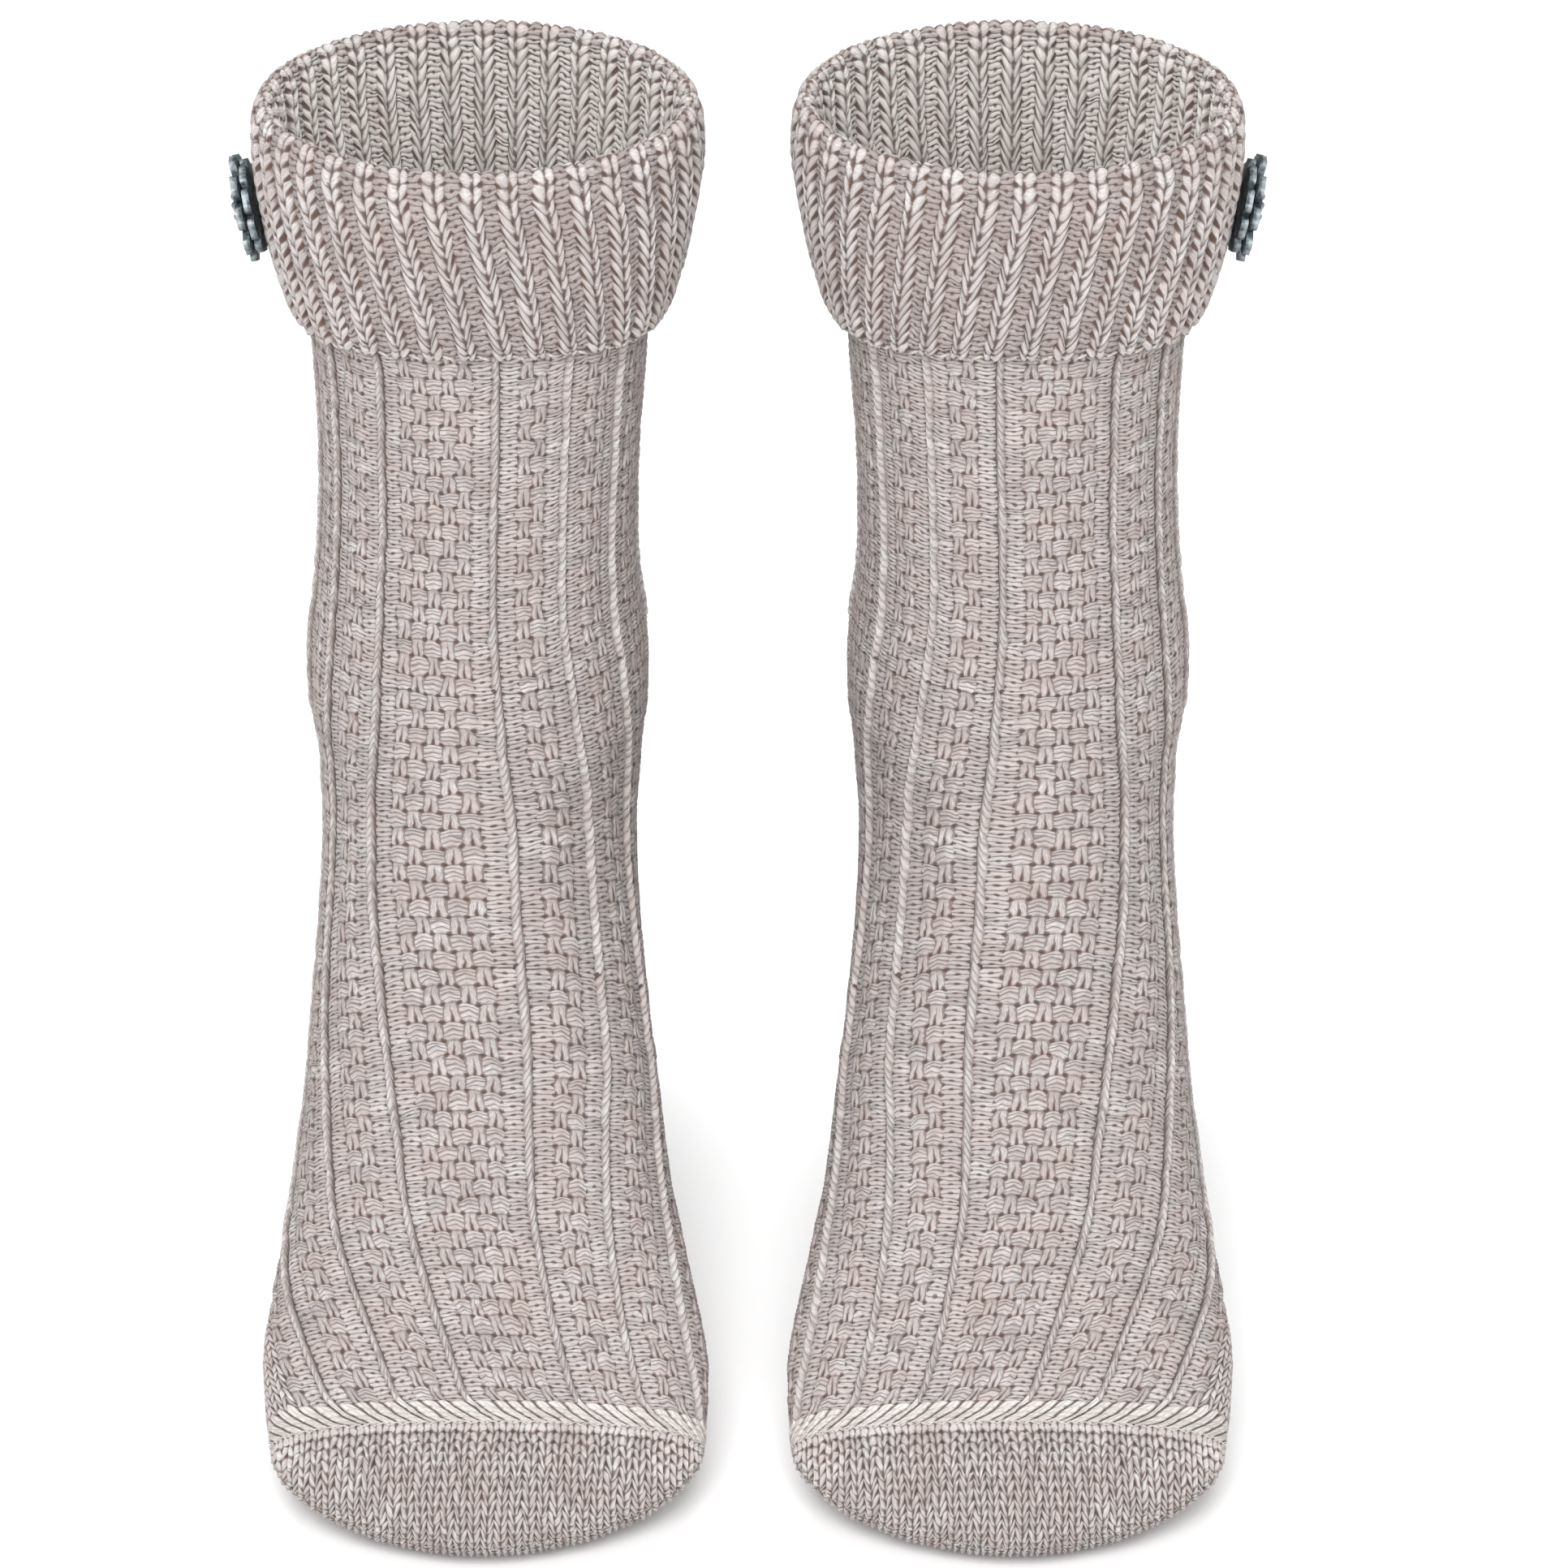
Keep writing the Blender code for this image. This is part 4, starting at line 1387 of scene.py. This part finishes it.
    def leg(self) -> bpy.types.Object:
        """The leg, with the cuff's ribs going on down its inside.

        Returns:
            The object.
        """
        gauge, columns, per = self.gauge, self.columns, ROWS_PER_COURSE
        shell = Shell("right_leg_knit")
        hidden = np.stack([ring_points(shape, columns.wales) for shape in
                           shapes_at(np.linspace(place_at_height(-SIZES.rim_fold), self.top, 5)[:-1])])
        stitched = self.body[:self.stops[1] * per + 1]
        v = np.concatenate((np.linspace(-16, -2, 4), self.fabric.v[:len(stitched)]))
        kinds = np.concatenate((np.full((1, SIZES.wales), Stitch.KNIT.value), self.kinds[:self.stops[1]]))
        outer = shell.sheet(np.concatenate((hidden, stitched)), columns.u, v, kinds, True, per)
        start = self.turned * gauge.cuff_rows
        lining = shell.sheet(self.rib_points[start:], self.rib_columns.u, self.rib_v[start:],
                             self.rib_kinds[self.turned:], True, gauge.cuff_rows)
        rows = self.inner_rings(np.linspace(place_at_height(-SIZES.lined_from), self.ankle, 9), ALL_ROUND)
        inner = shell.sheet(rows, ALL_ROUND + HALF, np.arange(9.0) * 4, None, True)
        drift = SHAPES[0, DRIFT]
        at, inner_at = columns.wales[:-1] + HALF, ALL_ROUND[:-1] + HALF
        rib_at = self.rib_columns.wales[:-1] + HALF - 0.5 * SIZES.rib_slant
        shell.zip_up(outer[0], at + drift, lining[0], rib_at, SIZES.wales)
        shell.zip_up(lining[-1], rib_at, inner[0], inner_at + drift, SIZES.wales)
        shell.zip_up(outer[-1], at, inner[-1], inner_at, SIZES.wales)
        return shell.finish(self.yarn)

    def patch(self, name: str, points: np.ndarray, u: np.ndarray, v: np.ndarray, kinds: np.ndarray,
              inner: np.ndarray) -> bpy.types.Object:
        """A piece of cloth with four sides.

        Args:
            name: The piece's name.
            points: Mesh points of its outer side.
            u: Stitch coordinate of each column.
            v: Stitch coordinate of each row.
            kinds: Kind values by course and cell.
            inner: Points of its inner side.

        Returns:
            The object.
        """
        shell = Shell(name)
        outer = shell.sheet(points, u, v, kinds, False, ROWS_PER_COURSE)
        back = shell.sheet(inner, np.linspace(u[0], u[-1], inner.shape[1]),
                           np.linspace(v[0], v[-1], inner.shape[0]), None, False)
        loops = []
        for grid in (outer, back):
            rows, cols = len(grid) - 1, len(grid[0]) - 1
            sides = [side + np.arange(count) / count for side, count in enumerate((cols, rows, cols, rows))]
            loops += [edge_loop(grid), np.concatenate(sides)]
        shell.zip_up(*loops, 4.0)
        return shell.finish(self.yarn)

    def instep(self) -> bpy.types.Object:
        """The front of the ankle, in the leg's own pattern.

        Returns:
            The object.
        """
        first, last = self.gore_columns()
        rows = slice(self.stops[1] * ROWS_PER_COURSE, self.stops[2] * ROWS_PER_COURSE + 1)
        points = self.body[rows, first:last + 1]
        u = self.columns.u[first:last + 1]
        kinds = self.kinds[self.stops[1]:self.stops[2], INSTEP[0] + HALF - 1:INSTEP[1] + HALF]
        courses = np.linspace(self.stops[1], self.stops[2], 9)[:, None]
        base, normals = self.lattice.at(np.repeat(courses, len(self.columns.u), axis=1))
        inner = (base - normals * SIZES.wall)[:, first:last + 1:STEPS]
        return self.patch("right_instep_knit", points, u, self.fabric.v[rows], kinds, inner)

    def heel(self) -> bpy.types.Object:
        """The heel, in plain knit round the back of the ankle and under it.

        Returns:
            The object.
        """
        gauge = self.gauge
        count = SIZES.wales - (INSTEP[1] - INSTEP[0] + 1)
        columns = even_columns(INSTEP[1] + 1, count, False)
        places, rows = stretches((self.ankle - 0.3, self.ankle, self.arch, self.arch + 0.25), (19, 239, 19))
        net = np.stack([ring_points(shape, columns.wales) for shape in shapes_at(places)])
        lattice = Lattice(net, list(zip(rows, (-4, 0, gauge.heel, gauge.heel + 3.5))))
        kinds = np.full((gauge.heel, count), Stitch.KNIT.value)
        fabric = Fabric(kinds, columns, ROWS_PER_COURSE - 1, self.random)
        fabric.height[:, (0, -1)] = GORE_GROOVE
        fabric.jitter_u[:, (0, -1)] = 0.0
        v = fabric.v
        points = knit_surface(lattice, fabric, -1.0)
        around = (np.arange(len(columns.u)) + self.gore_columns()[1]) % (len(self.columns.u) - 1)
        for stop, row, near in ((self.stops[1], 0, v), (self.stops[2], -1, v[-1] - v)):
            off = self.body[stop * ROWS_PER_COURSE, around] - points[row]
            points = points + np.clip(1 - near / 2.5, 0, 1)[:, None, None] * off[None]
        courses = np.linspace(0, gauge.heel, 17)[:, None]
        base, normals = lattice.at(np.repeat(courses, len(columns.u), axis=1))
        inner = (base - normals * SIZES.wall)[:, ::STEPS]
        return self.patch("right_heel_knit", points, columns.u, v, kinds, inner)

    def foot(self) -> bpy.types.Object:
        """The foot from the arch to the toe seam.

        Returns:
            The object.
        """
        shell = Shell("right_foot_knit")
        rows = slice(self.stops[2] * ROWS_PER_COURSE, self.stops[3] * ROWS_PER_COURSE + 1)
        outer = shell.sheet(self.body[rows], self.columns.u, self.fabric.v[rows],
                            self.kinds[self.stops[2]:], True, ROWS_PER_COURSE)
        rings = self.inner_rings(np.linspace(self.arch, self.seam - 0.004, 12), ALL_ROUND)
        inner = shell.sheet(rings, ALL_ROUND + HALF, np.arange(12.0) * 4, None, True)
        for end in (0, -1):
            shell.zip_up(outer[end], self.columns.wales[:-1] + HALF, inner[end], ALL_ROUND[:-1] + HALF, SIZES.wales)
        return shell.finish(self.yarn)

    def toe_half(self, across: np.ndarray, top: bool, inset: float) -> np.ndarray:
        """Net of the toe cap's upper or lower half, in columns that keep their distance from its middle.

        Args:
            across: Sideways place of each column, from -1 to 1 at the seam.
            top: Whether it is the upper half.
            inset: Distance inside the outer surface.

        Returns:
            Points by travel and column.
        """
        seam = SHAPES[-1]
        tip_y, tip_z = from_axes("foot", SIZES.tip_forward, SIZES.tip_up)
        belly, power = seam[BELLY], seam[POWER_F] if top else seam[POWER_B]
        back = np.array((seam[BACK_Y] - seam[FRONT_Y], seam[BACK_Z] - seam[FRONT_Z]))
        middle = np.array((seam[FRONT_Y], seam[FRONT_Z])) + back * belly
        reach_out = np.maximum(1 - np.abs(across) ** SIZES.toe_width_power, 0) ** (1 / SIZES.toe_width_power)
        share = np.sin(np.linspace(0, math.pi / 2, 90))[:, None] * reach_out[None, :]
        wide = np.maximum(1 - share ** SIZES.toe_width_power, 1e-9) ** (1 / SIZES.toe_width_power)
        deep = np.maximum(1 - share ** SIZES.toe_depth_power, 0) ** (1 / SIZES.toe_depth_power)
        inside = np.minimum(np.abs(across)[None, :] / wide, 1.0)
        reach = np.maximum(1 - inside ** power, 0) ** (1 / power)
        part = -belly * reach if top else (1 - belly) * reach
        x = seam[SIDE] + (SIZES.tip_side - seam[SIDE]) * share + seam[WIDE] * across[None, :]
        y = middle[0] + (tip_y - middle[0]) * share + back[0] * part * deep
        z = middle[1] + (tip_z - middle[1]) * share + back[1] * part * deep
        net = np.stack((x, y, z), axis=2)
        if inset:
            centre = np.array((seam[SIDE], middle[0] + 12.0, middle[1] + 6.0))
            away = net - centre
            net = net - away / np.linalg.norm(away, axis=2, keepdims=True) * inset
        return net

    def toe_sheets(self, shell: Shell, top: bool) -> tuple[list[Loop], list[Loop]]:
        """Add the cloth of the toe cap's upper or lower half.

        Args:
            shell: The cap.
            top: Whether it is the upper half.

        Returns:
            The vertices of its outer and its inner side.
        """
        seam = SHAPES[-1]
        power = seam[POWER_F if top else POWER_B]
        columns = even_columns(-HALF // 2, HALF, False)
        spot = np.sin(np.linspace(-1, 1, 4001) * math.pi / 2)
        deep = (seam[BELLY] if top else 1 - seam[BELLY]) * SIZES.toe_depth
        depth = deep * np.maximum(1 - np.abs(spot) ** power, 0) ** (1 / power)
        length = np.concatenate(([0.0], np.cumsum(np.hypot(np.diff(spot) * seam[WIDE], np.diff(depth)))))
        across = np.interp(columns.u / HALF * length[-1], length, spot)
        lattice = Lattice(self.toe_half(across, top, 0.0), [], flip=not top, length=self.gauge.toe_course)
        courses = int(math.ceil(lattice.course[-1].max()))
        kinds = np.full((courses, HALF), Stitch.KNIT.value)
        fabric = Fabric(kinds, columns, ROWS_PER_COURSE, self.random)
        left = np.clip(lattice.course[-1][None, :] - fabric.v[:, None], 0, 2) / 2
        fade = np.clip(fabric.v / self.gauge.lean_fade, 0, 1)
        fabric.jitter_u *= left
        fabric.jitter_v *= fade[:, None]
        rise = np.clip(fabric.v / self.gauge.height_fade, 0.2, 1)[:, None]
        height = fabric.height * rise * np.clip(left * 2, 0, 1)
        points = knit_surface(lattice, fabric, 1.0, lean_scale=fade, height=height)
        outer = shell.sheet(points, columns.u, fabric.v, kinds, False, ROWS_PER_COURSE)
        net, u = self.toe_half(across[::STEPS], top, SIZES.wall), columns.u[::STEPS]
        inner = shell.sheet(net[:82:9], u, np.arange(10.0), None, False)
        shell.sheet(net[[81, 89]], u, np.arange(2.0), None, False)
        return outer, inner

    def toe(self) -> bpy.types.Object:
        """The toe cap, whose wales run straight over the toes and back under them.

        Returns:
            The object.
        """
        shell = Shell("right_toe_knit")
        upper, lower = (self.toe_sheets(shell, top) for top in (True, False))
        loops = []
        for above, under in zip(upper, lower):
            loops += [above[0] + under[0][::-1],
                      np.concatenate((np.linspace(0, 1, len(above[0])), np.linspace(0, 1, len(under[0])) + 1))]
        shell.zip_up(*loops, 2.0)
        bmesh.ops.remove_doubles(shell.mesh, verts=shell.mesh.verts, dist=MERGE_DISTANCE)
        bmesh.ops.dissolve_degenerate(shell.mesh, edges=shell.mesh.edges, dist=MERGE_DISTANCE)
        return shell.finish(self.yarn)

    def seam_chain(self) -> bpy.types.Object:
        """The linked seam that joins the top of the foot to the toe cap.

        Returns:
            The object.
        """
        ring = ring_points(SHAPES[-1], np.linspace(-17.6, 17.6, 71), drifting=False)
        shape = SHAPES[-1]
        centre = np.array((shape[SIDE], (shape[FRONT_Y] + shape[BACK_Y]) / 2, (shape[FRONT_Z] + shape[BACK_Z]) / 2))
        forward = np.array((0.0, *from_axes("foot", 1.0, 0.0))) - np.array((0.0, *from_axes("foot", 0.0, 0.0)))
        return self.strands("right_toe_seam", ring, centre, forward, StrandSizes(1.0, 0.33, 0.0, (0.6, -0.35)))

    def hem_strands(self) -> bpy.types.Object:
        """The strands of the cast-off edge, which lie across the ends of the ribs.

        Returns:
            The object.
        """
        wales = self.rib_columns.wales[:-1:5] + SIZES.rib_slant / 2
        ring = self.at_levels(hem_height(wales), wales, SIZES.under_cuff + SIZES.cuff_wall)
        return self.strands("right_hem_strands", np.concatenate((ring, ring[:1])), np.zeros(3),
                            np.array((0.0, 0.0, 1.0)), StrandSizes(1.5, 0.36, -0.1, (0.5, -0.35)))

    def strands(self, name: str, ring: np.ndarray, centre: np.ndarray, upward: np.ndarray,
                sizes: StrandSizes) -> bpy.types.Object:
        """Short strands of yarn one after the other along a line.

        Args:
            name: The piece's name.
            ring: Points of the line.
            centre: A point inside the sock, from which the strands face away.
            upward: Direction across the line on the fabric.
            sizes: The strands' sizes.

        Returns:
            The object.
        """
        mesh = bmesh.new()
        for i, (one, two) in enumerate(zip(ring, ring[1:])):
            middle = (one + two) / 2
            along = (two - one) / np.linalg.norm(two - one)
            out = np.cross(along, upward)
            out /= np.linalg.norm(out)
            if out @ (middle - centre) < 0:
                out = -out
            swing = sizes.swings[i % 2]
            long = along * math.cos(swing) + upward * math.sin(swing)
            short = np.cross(out, long)
            made = bmesh.ops.create_uvsphere(mesh, u_segments=7, v_segments=5, radius=1.0)
            for vert in made["verts"]:
                x, y, z = vert.co
                place = (middle + out * (sizes.out + y * sizes.thick) + short * (x * sizes.thick)
                         + long * (z * sizes.long))
                vert.co = Vector((place * MM).tolist())
        bmesh.ops.recalc_face_normals(mesh, faces=mesh.faces)
        return mesh_object(name, mesh, self.seam_yarn)


@dataclass(frozen=True)
class FlowerSizes:
    """Sizes of the metal flower, in millimetres and degrees."""

    drop: float = 26.4
    tilt: float = 12.0
    petals: int = 9
    radius: float = 12.5
    rib: float = 0.9
    gap: float = 0.35
    sharp_angle: float = 50.0


@dataclass(frozen=True)
class PetalSizes:
    """Sizes of a layer's petals, in millimetres: where they begin and end, and their width, height and cup."""

    inner: float
    outer: float
    width: float
    height: float
    cup: float
    thick: float = 1.5


class Flower:
    """Builds the pewter flower on the right sock's cuff."""

    def __init__(self, sizes: FlowerSizes, metal: bpy.types.Material) -> None:
        """Find the flower's place on the cuff.

        Args:
            sizes: The flower's sizes.
            metal: Its material.
        """
        self.sizes, self.metal = sizes, metal
        tilt = math.radians(sizes.tilt)
        self.outward = Vector((-math.cos(tilt), 0.0, -math.sin(tilt)))
        self.upward = Vector((-math.sin(tilt), 0.0, math.cos(tilt)))
        self.sideways = Vector((0.0, 1.0, 0.0))
        shape = shapes_at(np.array([place_at_height(-sizes.drop)]))[0]
        crest = shape[WIDE] + SIZES.under_cuff + SIZES.cuff_wall + sizes.rib
        self.base = Vector((-crest, 0.0, -sizes.drop)) + self.outward * sizes.gap

    def spot(self, radius: float, turn: float, height: float) -> Vector:
        """A point of the flower.

        Args:
            radius: Distance from its axis.
            turn: Share of a full turn.
            height: Distance out from the cuff.

        Returns:
            The point in metres.
        """
        angle = 2 * math.pi * turn
        return (self.base + self.outward * height + self.upward * radius * math.cos(angle)
                + self.sideways * radius * math.sin(angle)) * MM

    def petal(self, mesh: bmesh.types.BMesh, layer: Layer, turn: float, sizes: PetalSizes) -> None:
        """One petal: a blunt plate with a raised rim and a crease along its middle.

        Args:
            mesh: Where it is added.
            layer: Layer of the rubbed edges.
            turn: Share of a full turn at which it points.
            sizes: Its sizes.
        """
        count = 9
        angle = 2 * math.pi * turn
        direction = self.upward * math.cos(angle) + self.sideways * math.sin(angle)
        cross = self.upward * -math.sin(angle) + self.sideways * math.cos(angle)
        loops = []
        for side in (0, 1):
            verts = bmesh.ops.create_grid(mesh, x_segments=count - 1, y_segments=count - 1, size=0.5)["verts"]
            for i, vert in enumerate(verts):
                row, column = divmod(i, count)
                along, across = row / (count - 1), 2 * column / (count - 1) - 1
                swell = 0.62 + 0.38 * math.sin(math.pi * min(along * 1.15, 1.0) * 0.62)
                blunt = 1 - 0.08 * abs(across) ** 3 - 0.05 * (1 - abs(across)) ** 2
                radius = sizes.inner + (sizes.outer - sizes.inner) * along * (blunt if along > 0.5 else 1.0)
                offset = across * sizes.width / 2 * swell * (1 - 0.25 * max(0.0, along - 0.8) / 0.2)
                rim = max(abs(across), along)
                raised = 0.06 * max(0.0, rim - 0.72) / 0.28 if side else 0.0
                crease = -0.14 * max(0.0, 1 - abs(across) * 4) * (1 - along) if side else 0.0
                level = sizes.height + sizes.cup * along ** 2 + side * sizes.thick + raised + crease
                vert.co = (self.base + self.outward * level + direction * radius + cross * offset) * MM
                vert[layer] = 1.0 if along > 0.93 and side else 0.35 if rim > 0.93 else 0.0
            loops.append(edge_loop([verts[r * count:(r + 1) * count] for r in range(count)]))
        pairs = list(zip(*loops))
        for (low, high), (next_low, next_high) in zip(pairs, pairs[1:] + pairs[:1]):
            mesh.faces.new((low, next_low, next_high, high))

    def build(self) -> bpy.types.Object:
        """The whole flower.

        Returns:
            The object.
        """
        mesh = bmesh.new()
        layer = mesh.verts.layers.float.new("rubbed")
        radius, count = self.sizes.radius, self.sizes.petals
        for start, sizes in ((0.5, PetalSizes(2.4, radius - 1.6, 6.6, 0.1, 0.5)),
                             (0.0, PetalSizes(2.2, radius, 6.2, 2.0, 0.6))):
            for i in range(count):
                self.petal(mesh, layer, (i + start) / count, sizes)
        for segments, low, high, out in ((40, 5.0, 4.4, 4.2), (32, 4.0, 4.0, 0.85)):
            made = bmesh.ops.create_cone(mesh, cap_ends=True, segments=segments, radius1=low, radius2=high, depth=1.6)
            self.place(made["verts"], layer, out, 0.0, 0.0)
        for ring, (beads, radius) in enumerate(((1, 0.0), (7, 3.0))):
            for i in range(beads):
                made = bmesh.ops.create_uvsphere(mesh, u_segments=12, v_segments=8, radius=1.05)
                self.place(made["verts"], layer, 4.95 - 0.1 * ring, radius, i / beads, 1.0)
        bmesh.ops.recalc_face_normals(mesh, faces=mesh.faces)
        return mesh_object("right_flower_metal", mesh, self.metal, self.sizes.sharp_angle)

    def place(self, verts: Loop, layer: Layer, height: float, radius: float, turn: float,
              rubbed: float = 0.0) -> None:
        """Move a shape made at the origin to its place on the flower.

        Args:
            verts: Its vertices, in millimetres, with its own axis along Z.
            layer: Layer of the rubbed edges.
            height: Distance out from the cuff.
            radius: Distance from the flower's axis.
            turn: Share of a full turn.
            rubbed: Value for the rubbed layer.
        """
        centre = self.spot(radius, turn, height)
        for vert in verts:
            x, y, z = vert.co
            vert.co = centre + (self.upward * x + self.sideways * y + self.outward * z) * MM
            vert[layer] = rubbed


AIM = (SIZES.pair_spacing / 2 * MM, -0.05, -0.14)
LAMPS = (("key", (-0.05, -1.8, 1.2), 1.2, 55.0), ("top", (-0.05, 0.25, 2.0), 1.5, 25.0))
SKY_STRENGTH = 0.60
FLOOR_COLOUR = (0.96, 0.96, 0.96, 1.0)
FLOOR_GAP = 0.0005


@dataclass(frozen=True)
class View:
    """The photograph's camera: lens and film in millimetres, place in metres, angle in degrees."""

    lens: float = 204.97
    film: float = 36.0
    shift: float = 0.02303
    place: tuple[float, float, float] = (SIZES.pair_spacing / 2 * MM, -1.841, 0.7815)
    down: float = 27.41


class Studio:
    """Camera, light and floor."""

    @staticmethod
    def camera(view: View) -> None:
        """The photograph's view: a long lens from above the toes.

        Args:
            view: The camera's numbers.
        """
        data = bpy.data.cameras.new("camera")
        data.lens, data.sensor_width, data.shift_x = view.lens, view.film, view.shift
        data.clip_start, data.clip_end = 0.1, 20.0
        camera = bpy.data.objects.new("camera", data)
        camera.location = view.place
        camera.rotation_euler = (math.radians(90 - view.down), 0.0, 0.0)
        bpy.context.scene.collection.objects.link(camera)
        bpy.context.scene.camera = camera

    @staticmethod
    def light(name: str, place: tuple[float, float, float], size: float, power: float) -> None:
        """A soft square lamp that points at the socks.

        Args:
            name: Its name.
            place: Where it stands, in metres.
            size: Length of its side.
            power: Its power in watts.
        """
        data = bpy.data.lights.new(name, "AREA")
        data.size, data.energy = size, power
        lamp = bpy.data.objects.new(name, data)
        lamp.location = place
        aim = Vector(AIM) - Vector(place)
        lamp.rotation_euler = aim.to_track_quat("-Z", "Y").to_euler()
        bpy.context.scene.collection.objects.link(lamp)

    @classmethod
    def build(cls) -> None:
        """Make the floor, the lamps and the surroundings."""
        mesh = bmesh.new()
        bmesh.ops.create_grid(mesh, x_segments=1, y_segments=1, size=6.0)
        material, _, shader = Materials.start("studio_floor")
        shader.inputs["Base Color"].default_value = FLOOR_COLOUR
        shader.inputs["Roughness"].default_value = 0.9
        floor = mesh_object("studio_floor", mesh, material, 30.0)
        low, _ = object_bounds()
        floor.location = (0.0, 0.0, low.z - FLOOR_GAP)
        floor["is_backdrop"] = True
        for lamp in LAMPS:
            cls.light(*lamp)
        world = bpy.data.worlds.new("studio")
        world.use_nodes = True
        background = world.node_tree.nodes["Background"]
        background.inputs["Color"].default_value = (1.0, 1.0, 1.0, 1.0)
        background.inputs["Strength"].default_value = SKY_STRENGTH
        bpy.context.scene.world = world
        bpy.context.scene.view_settings.view_transform = "Standard"


def corners() -> list[list[float]]:
    """Lowest and highest corner of what is shown, as plain lists."""
    return [list(corner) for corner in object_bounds()]


def main() -> None:
    """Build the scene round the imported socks."""
    logging.basicConfig(level=logging.INFO)
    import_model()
    yarn = Materials.yarn("melange_yarn", YarnFinish())
    seam_yarn = Materials.seam("seam_yarn", SEAM_COLOUR)
    metal = Materials.metal("antique_pewter", MetalFinish())

    sock = Sock(Gauge(), yarn, seam_yarn)
    pieces = (
        (sock.cuff(), "cuff", (0.300, 0.052), None, "folded"),
        (sock.leg(), "leg", (0.250, 0.136), None, "stretched"),
        (sock.instep(), None, (0.118, 0.080), None, "stretched"),
        (sock.heel(), None, (0.118, 0.140), None, "stretched"),
        (sock.foot(), "foot", (0.230, 0.110), None, "stretched"),
        (sock.toe(), "toe", (0.120, 0.078), 0.0088, "stretched"),
        (sock.seam_chain(), None, None, None, None),
        (sock.hem_strands(), None, None, None, None),
        (Flower(FlowerSizes(), metal).build(), "flower", None, None, None),
    )
    triangles = 0
    for thing, node, flat, area, held in pieces:
        twin = mirrored(thing, thing.name.replace("right_", "left_"))
        for piece, side in ((thing, "right"), (twin, "left")):
            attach(piece, "root")
            if node:
                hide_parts(f"{side}_{node}")
            piece.data.calc_loop_triangles()
            count = len(piece.data.loop_triangles)
            triangles += count
            LOG.info("%s has %d triangles", piece.name, count)
    LOG.info("%d triangles in all", triangles)
    Studio.camera(View())
    Studio.build()


if __name__ == "__main__":
    main()
